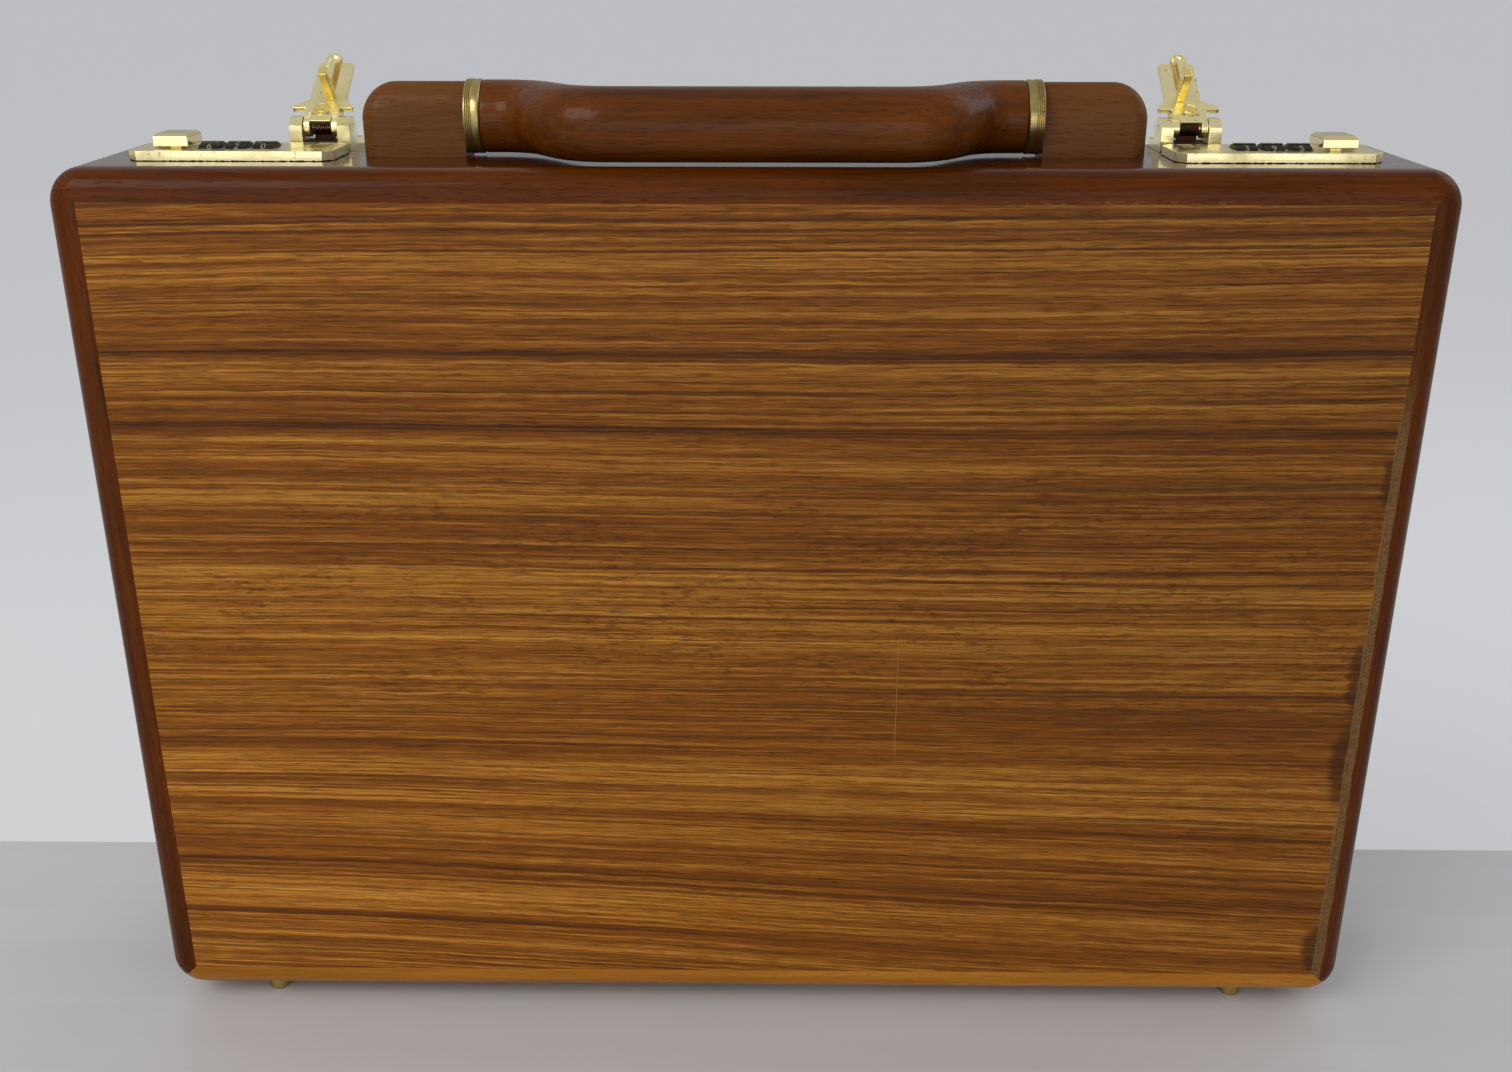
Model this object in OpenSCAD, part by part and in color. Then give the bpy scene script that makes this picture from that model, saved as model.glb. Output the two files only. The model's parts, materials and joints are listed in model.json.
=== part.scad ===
// Wooden attache case, standing upright on its feet with both hasps sprung open.
// X runs along the width, Y from the near face to the far one, Z up from the floor.

/* [Case] */
// Width of the closed case
case_w = 450; // [430:1:480]
// Height of the case without its feet
case_h = 312; // [300:1:340]
// Depth of the base, from its face to the seam
base_d = 44; // [44:0.5:60]
// Depth of the lid, from the seam to its face
lid_d = 32; // [32:0.5:50]
// Gap between the two halves at the seam
seam_gap = 0.4; // [0.3:0.05:0.6]
// Thickness of the wooden rails
rail_t = 15; // [15:0.5:18]
// Radius of the rounding along the outer edges
edge_r = 8; // [6:0.5:8.5]
// Radius of the case's corners, seen from its face
corner_r = 12; // [10:0.5:15]

/* [Panels] */
// Width of the wooden frame that shows round each panel
border = 10.4; // [9.5:0.1:11.5]
// Thickness of the plywood panel
ply_t = 4.2; // [3:0.1:5]
// Thickness of the veneer on the panel
veneer_t = 0.8; // [0.6:0.1:1.2]
// Thickness of the lining
lining_t = 1; // [0.8:0.1:1.5]
// Distance from the lining's edge to the rim
lining_drop = 1.5; // [1:0.1:3]

/* [Feet] */
// Diameter of a foot
foot_d = 8; // [6:0.5:9]
// Height of a foot
foot_h = 7; // [7:0.5:10]
// Distance of a foot from the side of the case
foot_in_x = 37.5; // [30:0.5:60]
// Distance of a foot from the face of its half
foot_in_y = 12.5; // [11:0.5:14]
// Chamfer under a foot
foot_cut = 0.8; // [0.4:0.1:1.2]
// Diameter of the foot's tenon
tenon_d = 4; // [3:0.5:5]
// Length of the foot's tenon
tenon_l = 9; // [6:0.5:12]

/* [Hinge] */
// Outer diameter of the knuckles
knuckle_d = 5; // [4.5:0.1:5]
// Diameter of the hinge pin
hinge_pin_d = 2; // [1.6:0.1:2.2]
// Thickness of a leaf
leaf_t = 1.2; // [1:0.1:1.4]
// Width of a leaf in its mortise
leaf_w = 12; // [11:0.5:13]
// Number of knuckles, an odd number
knuckles = 21; // [15:2:25]
// Distance of the hinge's end from the side of the case
hinge_in = 25.5; // [20:0.5:40]
// Gap between two knuckles
knuckle_gap = 0.3; // [0.3:0.05:0.5]
// Number of screws in each leaf
hinge_screws = 9; // [5:1:11]

/* [Handle] */
// Height of the handle's axis above the case
grip_up = 12.5; // [12.5:0.1:15]
// Distance of the handle's axis from the near face
grip_back = 36.7; // [34:0.1:36.7]
// Diameter of the grip
grip_d = 23.4; // [20:0.1:23.4]
// Distance from the handle's axis to the middle of the grip
grip_reach = 24.7; // [22:0.1:24.7]
// Radius of the grip's bends, on its middle line
bend_r = 20; // [18:0.5:21]
// Angle of the grip's bends
bend_a = 55; // [45:1:60]
// Length of the grip's straight ends
grip_end = 5.4; // [2:0.1:8]
// Width of a ferrule
ferrule_w = 5.3; // [4:0.1:8]
// Diameter of a ferrule
ferrule_d = 24; // [23.6:0.1:24.2]
// Diameter of the grip's tenon inside the ferrule
grip_tenon_d = 19; // [15:0.5:20]
// Diameter of the pin that the grip turns on
grip_pin_d = 6; // [4:0.5:7]
// Length of the pin on each side of the block's face
grip_pin_half = 17; // [12:0.5:18]
// Gap between a handle block and a lock plate
handle_gap = 6.7; // [5:0.1:12]
// Length of a handle block
block_l = 34.8; // [32:0.1:38]
// Thickness of a handle block
block_t = 14.2; // [13:0.1:14.2]
// Height of a handle block
block_h = 23.7; // [22:0.1:26]
// Height at which the block starts to round over
block_shoulder = 12; // [10:0.1:13]
// Radius of the block's outer top corner
block_corner_r = 9.5; // [6:0.5:11]

/* [Locks] */
// Distance of a lock's middle from the side of the case
lock_in = 55; // [50:0.5:58]
// Distance of the lock's middle from the near face
lock_back = 30.2; // [29:0.1:30.2]
// Length of a lock plate
plate_l = 67; // [66:0.5:70]
// Width of a lock plate
plate_w = 24.4; // [24:0.1:25]
// Thickness of a lock plate
plate_t = 3.2; // [2.6:0.1:3.3]
// Corner chamfer of a lock plate
plate_cut = 3.2; // [1:0.1:3.2]
// Depth of the lock case below the plate
lock_depth = 11.5; // [11.5:0.1:12.5]
// Overhang of a lock plate past each end of the lock case
plate_over = 3; // [2.5:0.1:3.5]
// Distance from the lock's middle to the front of its case
lock_front = 9.2; // [9:0.1:9.6]
// Wood between the lock case and the seam
lock_rim = 1.7; // [1.5:0.1:1.8]
// Wall of the lock case
lock_wall = 0.8; // [0.6:0.1:1]
// Diameter of a dial
dial_d = 13; // [12:0.1:13]
// Width of a dial
dial_w = 7; // [6:0.1:7.2]
// Pitch of the dials
dial_pitch = 8.9; // [8.8:0.1:9.2]
// Height of the dials above the plate
dial_proud = 1.8; // [1:0.1:2.2]
// Diameter of the dials' shaft
dial_shaft_d = 3; // [2:0.1:4]
// Distance from the end of the lock plate to the button's middle
button_in = 13; // [12.5:0.1:13.5]
// Length of the button along the plate
button_l = 11.8; // [9:0.1:12]
// Width of the button
button_w = 13.3; // [10:0.1:15]
// Height of the button
button_h = 4; // [3:0.1:6]
// Travel of the button
button_travel = 4.5; // [2:0.1:4.5]
// Thickness of the bolt
bolt_t = 1.8; // [1.4:0.1:1.9]

/* [Hasps] */
// Distance from the lock's middle to the hasp
hasp_x = 22.5; // [21:0.1:22.5]
// Distance from the seam to the hasp's axis
hasp_back = 5.5; // [5.5:0.1:6]
// Height of the hasp's axis above the case
hasp_up = 7.5; // [7.5:0.1:8]
// Width of the bracket and of the hasp
bracket_w = 20.5; // [20:0.1:22]
// Length of the bracket
bracket_l = 18; // [17:0.5:20]
// Width of a bracket lug
lug_w = 4.3; // [3.5:0.1:4.5]
// Length of a bracket lug
lug_l = 10; // [9:0.1:10.5]
// Width of a hasp ear
ear_w = 2.2; // [1.8:0.1:2.4]
// Diameter of the hasp pin
hasp_pin_d = 2.4; // [2:0.1:2.6]
// Angle from the closed hasp to the open one
hasp_open = 144; // [130:1:150]
// Thickness of the hasp plate
hasp_t = 1.2; // [1:0.1:1.4]
// Distance from the hasp's axis to the square end of its plate
hasp_reach = 28; // [24:0.5:29]
// Distance from the hasp's axis to the tip of its tongue
tongue_reach = 33; // [31.5:0.5:34]
// Width of the hasp's neck
neck_w = 12.5; // [11:0.1:14]
// Length of the hook under the hasp
hook_l = 12.5; // [11.5:0.1:13]
// Wire of the hasp spring
spring_wire = 0.9; // [0.7:0.05:0.95]
// Turns of the hasp spring
spring_turns = 4; // [3:0.5:4]

/* [Stays] */
// Distance from the hinge to a stay's pivot, and length of its arms
stay_r = 110; // [90:1:125]
// Distance of a stay's pivots from the seam
stay_off = 10; // [9:0.5:12]
// Width of a stay arm
stay_w = 9; // [7:0.5:10]
// Thickness of a stay arm
stay_t = 1.5; // [1.2:0.1:1.8]
// Diameter of a stay's journals
stay_pin_d = 4; // [3:0.5:4.5]

/* [Hidden] */
$fn = 64;

// Running clearance round a pin, and clearance between parts that pass each other
fit = 0.05;
clear = 0.3;
// Overshoot of a cut past the face that it opens
over = 1;

case_d = base_d + lid_d;
near_y = -case_d / 2;
far_y = case_d / 2;
seam_y = near_y + base_d;
bottom_z = foot_h;
top_z = foot_h + case_h;
panel_t = ply_t + veneer_t;

hinge_z = bottom_z - knuckle_d / 2 - clear;
hinge_l = case_w - 2 * hinge_in;
knuckle_pitch = hinge_l / knuckles;
knuckle_neck = 0.4;
leaf_screw_z = bottom_z + leaf_w * 0.55;
mitre_gap = 0.02;
leaf_screw_d = 2.4;
leaf_screw_l = 11;
leaf_head_h = 0.9;

grip_y = near_y + grip_back;
grip_z = top_z + grip_up;
lock_x = case_w / 2 - lock_in;
block_end = lock_x - plate_l / 2 - handle_gap;
block_x = block_end - block_l;
ferrule_x = block_x - clear - ferrule_w;
bend_x = ferrule_x - grip_end;
tenon_short = 0.2;
handle_screw_d = 4;
handle_screw_up = 8;
handle_screw_head = 2.2;
groove_w = 0.5;
groove_deep = 0.3;

lock_y = near_y + lock_back;
plate_z = top_z + plate_t;
dial_z = plate_z + dial_proud - dial_d / 2;
dial_gap = 0.2;
dial_slot_w = dial_w + 2 * dial_gap;
notch_r = 1;
notch_out = 0.5;
dial_slot_l = 2 * sqrt(pow(dial_d / 2, 2) - pow(dial_z - top_z, 2)) + 2 * clear;
web_t = 1;
web_x = dial_pitch + dial_w / 2 + clear;
lock_l = plate_l - 2 * plate_over;
button_x = plate_l / 2 - button_in;
lock_rear_y = seam_y - seam_gap / 2 - lock_rim;
lock_front_y = lock_y - lock_front;
lock_screw_in = 3;
lock_screw_d = 2.2;
lock_screw_head = 1.4;
lock_screw_up = 1.2;
lock_floor_z = top_z - lock_depth;
bolt_gap = 0.15;
bolt_z = lock_floor_z + lock_wall + bolt_gap;
cross_l = 1.5;
button_gap = 0.8;
button_bevel = 1;
bolt_w = 5;
stem_l = 4;
stem_w = 5;

hasp_y = seam_y + hasp_back;
hasp_z = top_z + hasp_up;
bracket_gap = 1;
bracket_y = seam_y + bracket_gap;
lug_top = 3.4;
lug_cut = 2.6;
lug_foot = 0.5;
bracket_screw_d = 2.6;
bracket_screw_head = 1.4;
bracket_screw_l = 13;
ear_gap = 0.1;
lug_in = bracket_w / 2 - lug_w;
ear_in = lug_in - ear_gap - ear_w;
ear_r = 3.2;
rib_h = 0.8;
hasp_gap = 0.4;
hasp_low = hasp_up - plate_t - hasp_gap;
hasp_rear = 5.1;
hasp_wide = 9.6;
hasp_side = 1.2;
hasp_root = 1.6;
hasp_corner_r = 1.6;
hook_side = 2.2;
hook_x = hasp_x + hook_side;
hook_near = 12.2;
hook_far = 8.6;
hook_t = 2;
hook_gap = 0.6;
slot_w = 5;
hook_sweep = sqrt(pow(hook_near, 2) + pow(hasp_low + hook_l, 2)) + hook_gap;
notch_down = 7.7;
notch_top = hasp_low + notch_down;
notch_h = 2.8;
nose_h = 2.2;
nose_w = 1.4;
spring_gap = 0.55;
spring_r = hasp_pin_d / 2 + spring_gap + spring_wire / 2;
spring_pitch = (2 * (ear_in - clear) - spring_wire) / spring_turns;

wall_x = case_w / 2 - rail_t;
stay_gap = 0.5;
thread_d = 3;
thread_l = 9;
shoulder = 1;
stud_rim = 1.6;
stud_cap = 1.1;
stud_h = 1;
rivet_play = 0.2;
rivet_rim = 1.4;
rivet_hole_d = stay_pin_d + 2 * fit - 1;
rivet_h = 0.8;
lower_arm_x = wall_x - lining_t - stay_gap;
upper_arm_x = lower_arm_x - stay_t - clear;
stay_rise = sqrt(stay_r * stay_r - stay_off * stay_off);
stay_lean = asin(stay_off / stay_r);
pivot_z = hinge_z + stay_rise;
joint_z = hinge_z + 2 * stay_rise;

rosewood = [0.30, 0.12, 0.05];
teak = [0.62, 0.33, 0.14];
ply = [0.78, 0.62, 0.42];
brass = [0.86, 0.74, 0.42];
steel = [0.62, 0.62, 0.62];
black = [0.10, 0.10, 0.10];
cloth = [0.36, 0.28, 0.20];

// Extrudes a shape drawn in X and Z from y0 to y1
module along_y(y0, y1) {
    translate([0, y1, 0])
        rotate([90, 0, 0])
            linear_extrude(y1 - y0)
                children();
}

// Cylinder along X from x0 to x1, about an axis at y and z
module rod_x(x0, x1, y, z, d) {
    translate([x0, y, z])
        rotate([0, 90, 0])
            cylinder(h = x1 - x0, d = d);
}

// Box between two corners
module block(low, high) {
    translate(low)
        cube(high - low);
}

// The part drawn for the left end, and its mirror image for the right end
module both_ends() {
    children();
    mirror([1, 0, 0])
        children();
}

// Countersunk screw that points down from its head at the origin
module screw(d, head_d, head_h, l, grow = 0) {
    translate([0, 0, -head_h - grow])
        cylinder(h = head_h + grow, d1 = d + 2 * grow, d2 = head_d + 2 * grow);
    translate([0, 0, -l - grow])
        cylinder(h = l - head_h + grow, d = d + 2 * grow);
}

// Outline of the case seen from its face, inset from its edge
module case_outline(inset) {
    w = case_w - 2 * inset;
    h = case_h - 2 * inset;
    r = corner_r - inset;
    translate([-w / 2 + r, inset])
        square([w - 2 * r, h]);
    translate([-w / 2, inset + r])
        square([w, h - 2 * r]);
    for (x = [-w / 2 + r, w / 2 - r])
        for (z = [inset + r, inset + h - r])
            translate([x, z])
                circle(r);
}

// Square-cornered outline, inset from the case's edge
module square_outline(inset) {
    translate([-case_w / 2 + inset, inset])
        square([case_w - 2 * inset, case_h - 2 * inset]);
}

// One half of the case as a solid block, its face at y = 0 and its rim at y = depth
module half_block(depth) {
    along_y(edge_r, depth)
        case_outline(0);
    along_y(0, edge_r + over)
        case_outline(edge_r);
    for (z = [edge_r, case_h - edge_r])
        rod_x(-case_w / 2 + corner_r, case_w / 2 - corner_r, edge_r, z, 2 * edge_r);
    for (x = [-case_w / 2 + edge_r, case_w / 2 - edge_r])
        translate([x, edge_r, corner_r])
            cylinder(h = case_h - 2 * corner_r, r = edge_r);
    for (x = [-1, 1])
        for (z = [corner_r, case_h - corner_r])
            translate([x * (case_w / 2 - corner_r), edge_r, z])
                rotate([90, 0, 0])
                    rotate_extrude()
                        corner_section();
}

// Section of a rounded corner about its axis, sunk a little into the block behind it
module corner_section() {
    inner = corner_r - edge_r;
    translate([0, -over])
        square([corner_r, over]);
    square([inner, edge_r]);
    translate([inner, 0])
        intersection() {
            circle(edge_r);
            square(edge_r);
        }
}

// The four rails of one half before they are parted at the mitres
module half_frame(depth) {
    difference() {
        half_block(depth);
        along_y(-over, depth + over)
            square_outline(rail_t);
        along_y(-over, panel_t)
            square_outline(border);
    }
}

// Wedge that parts the top rail, or the bottom one, from its neighbours at the mitres
module level_wedge(top) {
    in = rail_t + over;
    z0 = top ? case_h + over : -over;
    z1 = top ? case_h - in : in;
    w = case_w / 2 - mitre_gap;
    along_y(-over, max(base_d, lid_d) + over)
        polygon([[-w - over, z0], [w + over, z0], [w - in, z1], [-w + in, z1]]);
}

// Wedge that parts the left rail from its neighbours at the mitres
module upright_wedge() {
    in = rail_t + over;
    w = case_w / 2;
    low = mitre_gap;
    high = case_h - mitre_gap;
    along_y(-over, max(base_d, lid_d) + over)
        polygon([
            [-w - over, low - over], [-w + in, low + in],
            [-w + in, high - in], [-w - over, high + over]
        ]);
}

// Places a half drawn with its face at y = 0: the base near, the lid far and turned round
module as_base() {
    translate([0, near_y, bottom_z])
        children();
}

module as_lid() {
    translate([0, far_y, bottom_z])
        mirror([0, 1, 0])
            children();
}

module level_rail(depth, top) {
    intersection() {
        half_frame(depth - seam_gap / 2);
        level_wedge(top);
    }
}

module left_rail(depth) {
    intersection() {
        half_frame(depth - seam_gap / 2);
        upright_wedge();
    }
}

// Panel and veneer, let into the frame
module panel_slab(y0, y1) {
    along_y(y0, y1)
        square_outline(border);
}

// Cloth-covered tray that lines one half
module lining_tray(depth) {
    difference() {
        along_y(panel_t, depth - lining_drop)
            square_outline(rail_t);
        along_y(panel_t + lining_t, depth + over)
            square_outline(rail_t + lining_t);
    }
}

// Feet, one at each end of a bottom rail
module foot_places(y) {
    both_ends()
        translate([-case_w / 2 + foot_in_x, y, 0])
            children();
}

module foot() {
    rotate_extrude()
        polygon([
            [0, 0], [foot_d / 2 - foot_cut, 0], [foot_d / 2, foot_cut], [foot_d / 2, foot_h],
            [tenon_d / 2, foot_h], [tenon_d / 2, foot_h + tenon_l], [0, foot_h + tenon_l]
        ]);
}

module foot_hole() {
    translate([0, 0, foot_h - over])
        cylinder(h = tenon_l + over + fit, d = tenon_d + 2 * fit);
}

// Places along the piano hinge, by knuckle number or by screw number
function knuckle_x(i) = (i + 0.5) * knuckle_pitch - hinge_l / 2;
function screw_x(i) = (i + 0.5) * hinge_l / hinge_screws - hinge_l / 2;

// Leaf with every second knuckle, drawn for the base; side is 1 for the lid
module hinge_leaf(side) {
    way = side == 1 ? 1 : -1;
    inner = seam_gap / 2;
    y0 = seam_y + (way == 1 ? inner : -inner - leaf_t);
    difference() {
        union() {
            block([-hinge_l / 2, y0, bottom_z], [hinge_l / 2, y0 + leaf_t, bottom_z + leaf_w]);
            for (i = [side : 2 : knuckles - 1])
                leaf_knuckle(knuckle_x(i), y0);
        }
        rod_x(-hinge_l / 2 - over, hinge_l / 2 + over, seam_y, hinge_z, hinge_pin_d + 2 * fit);
        for (i = [0 : hinge_screws - 1])
            leaf_screw_place(i, way)
                screw(leaf_screw_d, leaf_screw_d + 2 * leaf_head_h, leaf_head_h, leaf_screw_l, fit);
    }
}

module leaf_knuckle(x, y0) {
    half = (knuckle_pitch - knuckle_gap) / 2;
    rod_x(x - half, x + half, seam_y, hinge_z, knuckle_d);
    block([x - half, y0, hinge_z + hinge_pin_d / 2 + knuckle_neck],
          [x + half, y0 + leaf_t, bottom_z + over]);
}

// Turns a screw that points down so that it points from the seam into a rail
module leaf_screw_place(i, way) {
    translate([screw_x(i), seam_y + way * seam_gap / 2, leaf_screw_z])
        rotate([way * 90, 0, 0])
            children();
}

module leaf_screws(way) {
    for (i = [0 : hinge_screws - 1])
        leaf_screw_place(i, way)
            screw(leaf_screw_d, leaf_screw_d + 2 * leaf_head_h, leaf_head_h, leaf_screw_l);
}

// Mortise for a leaf and the holes for its screws
module leaf_cut(way) {
    inner = way == 1 ? 0 : -seam_gap / 2 - leaf_t - fit;
    outer = way == 1 ? seam_gap / 2 + leaf_t + fit : 0;
    block([-hinge_l / 2 - fit, seam_y + inner, bottom_z - over],
          [hinge_l / 2 + fit, seam_y + outer, bottom_z + leaf_w + fit]);
    for (i = [0 : hinge_screws - 1])
        leaf_screw_place(i, way)
            screw(leaf_screw_d, leaf_screw_d + 2 * leaf_head_h, leaf_head_h, leaf_screw_l, fit);
}

module base_top_rail() {
    color(rosewood)
        difference() {
            as_base()
                level_rail(base_d, true);
            both_ends() {
                lock_mortise();
                handle_screws_left(fit);
                lock_screws_left(fit);
            }
        }
}

module base_bottom_rail() {
    color(rosewood)
        difference() {
            as_base()
                level_rail(base_d, false);
            leaf_cut(-1);
            foot_places(near_y + foot_in_y)
                foot_hole();
        }
}

module base_left_rail() {
    color(rosewood)
        difference() {
            as_base()
                left_rail(base_d);
            stay_stud_base(fit);
        }
}

module base_right_rail() {
    color(rosewood)
        mirror([1, 0, 0])
            difference() {
                as_base()
                    left_rail(base_d);
                stay_stud_base(fit);
            }
}

module base_panel() {
    color(ply)
        as_base()
            panel_slab(veneer_t, panel_t);
}

module base_veneer() {
    color(teak)
        as_base()
            panel_slab(0, veneer_t);
}

module base_lining() {
    color(cloth)
        difference() {
            as_base()
                lining_tray(base_d - seam_gap / 2);
            both_ends()
                stay_stud_base(fit);
        }
}

module base_feet() {
    color(brass)
        foot_places(near_y + foot_in_y)
            foot();
}

module hinge_leaf_base() {
    color(brass)
        hinge_leaf(0);
}

module hinge_pin() {
    color(steel)
        rod_x(-hinge_l / 2, hinge_l / 2, seam_y, hinge_z, hinge_pin_d);
}

module hinge_screws_base() {
    color(brass)
        leaf_screws(-1);
}

// Section of a handle block: upright sides, then a half ellipse to the top
function block_section() = concat(
    [[-block_t / 2, 0], [block_t / 2, 0]],
    [for (a = [0 : 10 : 180])
        [block_t / 2 * cos(a), block_shoulder + (block_h - block_shoulder) * sin(a)]]
);

module handle_block() {
    difference() {
        intersection() {
            translate([-block_x - block_l, grip_y, top_z])
                rotate([90, 0, 90])
                    linear_extrude(block_l)
                        polygon(block_section());
            translate([-block_x - block_l, 0, top_z])
                along_y(grip_y - block_t, grip_y + block_t)
                    block_front();
        }
        rod_x(-block_x - grip_pin_half, -block_x + over, grip_y, grip_z, grip_pin_d + 2 * fit);
        handle_screws_left(fit);
    }
}

// Front outline of a handle block, with its outer top corner rounded
module block_front() {
    r = block_corner_r;
    square([block_l, block_h - r]);
    translate([r, 0])
        square([block_l - r, block_h]);
    translate([r, block_h - r])
        circle(r);
}

module handle_block_left() {
    color(rosewood)
        handle_block();
}

module handle_block_right() {
    color(rosewood)
        mirror([1, 0, 0])
            handle_block();
}

module handle_pins() {
    color(steel)
        both_ends()
            rod_x(-block_x - grip_pin_half + fit, -block_x + grip_pin_half, grip_y, grip_z, grip_pin_d);
}

// Two screws per block, driven up from inside the case
module handle_screws_left(grow = 0) {
    for (x = [block_x + block_l * 0.27, block_x + block_l * 0.75])
        translate([-x, grip_y, top_z - rail_t])
            rotate([180, 0, 0])
                screw(handle_screw_d, 2 * handle_screw_d, handle_screw_head, rail_t + handle_screw_up, grow);
}

module handle_screws() {
    color(brass)
        both_ends()
            handle_screws_left();
}

// Moves a shape drawn about the middle of the left lock to its place; +X points to the middle
module at_lock() {
    translate([-lock_x, lock_y, 0])
        children();
}

module lock_mortise() {
    at_lock()
        block([-lock_l / 2 - fit, lock_front_y - lock_y - fit, lock_floor_z - fit],
              [lock_l / 2 + fit, lock_rear_y - lock_y + fit, top_z + over]);
}

module plate_outline() {
    l = plate_l / 2;
    w = plate_w / 2;
    c = plate_cut;
    polygon([
        [-l + c, -w], [l - c, -w], [l, -w + c], [l, w - c],
        [l - c, w], [-l + c, w], [-l, w - c], [-l, -w + c]
    ]);
}

module lock_plate() {
    at_lock()
        difference() {
            translate([0, 0, top_z])
                linear_extrude(plate_t)
                    plate_outline();
            for (i = [-1 : 1])
                block([i * dial_pitch - dial_slot_w / 2, -dial_slot_l / 2, top_z - over],
                      [i * dial_pitch + dial_slot_w / 2, dial_slot_l / 2, plate_z + over]);
            stem_slot();
            hook_slot();
        }
}

// Slot that the button's stem slides in
module stem_slot() {
    block([-button_x - stem_l / 2 - button_travel - clear, -stem_w / 2 - fit, top_z - over],
          [-button_x + stem_l / 2 + fit, stem_w / 2 + fit, plate_z + over]);
}

// Slot that the hook drops into
module hook_slot() {
    rear = hasp_y - hook_far + hook_gap - lock_y;
    front = hasp_y - hook_sweep - lock_y;
    x0 = hook_x - hook_t / 2 - hook_gap;
    block([x0, front, top_z - over], [x0 + slot_w, rear, plate_z + over]);
}

module lock_plate_left() {
    color(brass)
        lock_plate();
}

module lock_plate_right() {
    color(brass)
        mirror([1, 0, 0])
            lock_plate();
}

// Folded case below the plate, with two webs that carry the dials' shaft
module lock_case() {
    y0 = lock_front_y - lock_y;
    y1 = lock_rear_y - lock_y;
    at_lock()
        difference() {
            block([-lock_l / 2, y0, lock_floor_z], [lock_l / 2, y1, top_z]);
            block([-lock_l / 2 + lock_wall, y0 + lock_wall, lock_floor_z + lock_wall],
                  [-web_x - web_t, y1 - lock_wall, top_z + over]);
            block([-web_x, y0 + lock_wall, lock_floor_z + lock_wall],
                  [web_x, y1 - lock_wall, top_z + over]);
            block([web_x + web_t, y0 + lock_wall, lock_floor_z + lock_wall],
                  [lock_l / 2 - lock_wall, y1 - lock_wall, top_z + over]);
            rod_x(-web_x - web_t - over, web_x + web_t + over, 0, dial_z, dial_shaft_d + 2 * fit);
            block([-web_x - web_t - over, -bolt_w / 2 - clear, lock_floor_z + lock_wall],
                  [web_x + web_t + over, bolt_w / 2 + clear, bolt_z + bolt_t + clear]);
            translate([lock_x, -lock_y, 0])
                lock_screws_left(fit);
        }
}

module lock_case_left() {
    color(steel)
        lock_case();
}

module lock_case_right() {
    color(steel)
        mirror([1, 0, 0])
            lock_case();
}

module dial_shafts() {
    color(steel)
        both_ends()
            at_lock()
                rod_x(-web_x - web_t, web_x + web_t, 0, dial_z, dial_shaft_d);
}

// Two short screws per lock, up through the rail into the floor of the lock case
module lock_screws_left(grow = 0) {
    l = rail_t - lock_depth + lock_wall + lock_screw_up;
    for (x = [-lock_l / 2 + lock_screw_in, lock_l / 2 - lock_screw_in])
        translate([-lock_x + x, lock_front_y + lock_screw_in, top_z - rail_t])
            rotate([180, 0, 0])
                screw(lock_screw_d, 2 * lock_screw_d, lock_screw_head, l, grow);
}

module lock_screws() {
    color(steel)
        both_ends()
            lock_screws_left();
}

// Stud of a stay: thread in the rail, shoulder, journal and head
module stay_stud(arm_x, y, grow = 0) {
    back = wall_x - arm_x;
    front = back + stay_t;
    r = stay_pin_d / 2;
    thread_r = thread_d / 2 + grow;
    translate([-wall_x, y, pivot_z])
        rotate([0, 90, 0])
            rotate_extrude()
                polygon([
                    [0, -thread_l - grow], [thread_r, -thread_l - grow], [thread_r, 0],
                    [r + shoulder + grow, 0], [r + shoulder + grow, back - fit], [r, back - fit],
                    [r, front + fit], [r + stud_rim, front + fit],
                    [r + stud_cap, front + stud_h], [0, front + stud_h]
                ]);
}

module stay_stud_base(grow = 0) {
    stay_stud(lower_arm_x, seam_y - stay_off, grow);
}

module stay_stud_lid(grow = 0) {
    stay_stud(upper_arm_x, seam_y + stay_off, grow);
}

module stay_pivots_base() {
    color(brass)
        both_ends()
            stay_stud_base();
}

module lid_top_rail() {
    color(rosewood)
        difference() {
            as_lid()
                level_rail(lid_d, true);
            both_ends()
                bracket_screws_left(fit);
        }
}

module lid_bottom_rail() {
    color(rosewood)
        difference() {
            as_lid()
                level_rail(lid_d, false);
            leaf_cut(1);
            foot_places(far_y - foot_in_y)
                foot_hole();
        }
}

module lid_left_rail() {
    color(rosewood)
        difference() {
            as_lid()
                left_rail(lid_d);
            stay_stud_lid(fit);
        }
}

module lid_right_rail() {
    color(rosewood)
        mirror([1, 0, 0])
            difference() {
                as_lid()
                    left_rail(lid_d);
                stay_stud_lid(fit);
            }
}

module lid_panel() {
    color(ply)
        as_lid()
            panel_slab(veneer_t, panel_t);
}

module lid_veneer() {
    color(teak)
        as_lid()
            panel_slab(0, veneer_t);
}

module lid_lining() {
    color(cloth)
        difference() {
            as_lid()
                lining_tray(lid_d - seam_gap / 2);
            both_ends()
                stay_stud_lid(fit);
        }
}

module lid_feet() {
    color(brass)
        foot_places(far_y - foot_in_y)
            foot();
}

module hinge_leaf_lid() {
    color(brass)
        hinge_leaf(1);
}

module hinge_screws_lid() {
    color(brass)
        leaf_screws(1);
}

// Moves a shape drawn about the middle of the left hasp's axis to its place
module at_hasp() {
    translate([-lock_x + hasp_x, hasp_y, hasp_z])
        children();
}

// Extrudes a shape drawn in Y and Z along X, from x0 to x1
module along_x(x0, x1) {
    translate([x0, 0, 0])
        rotate([90, 0, 90])
            linear_extrude(x1 - x0)
                children();
}

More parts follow.
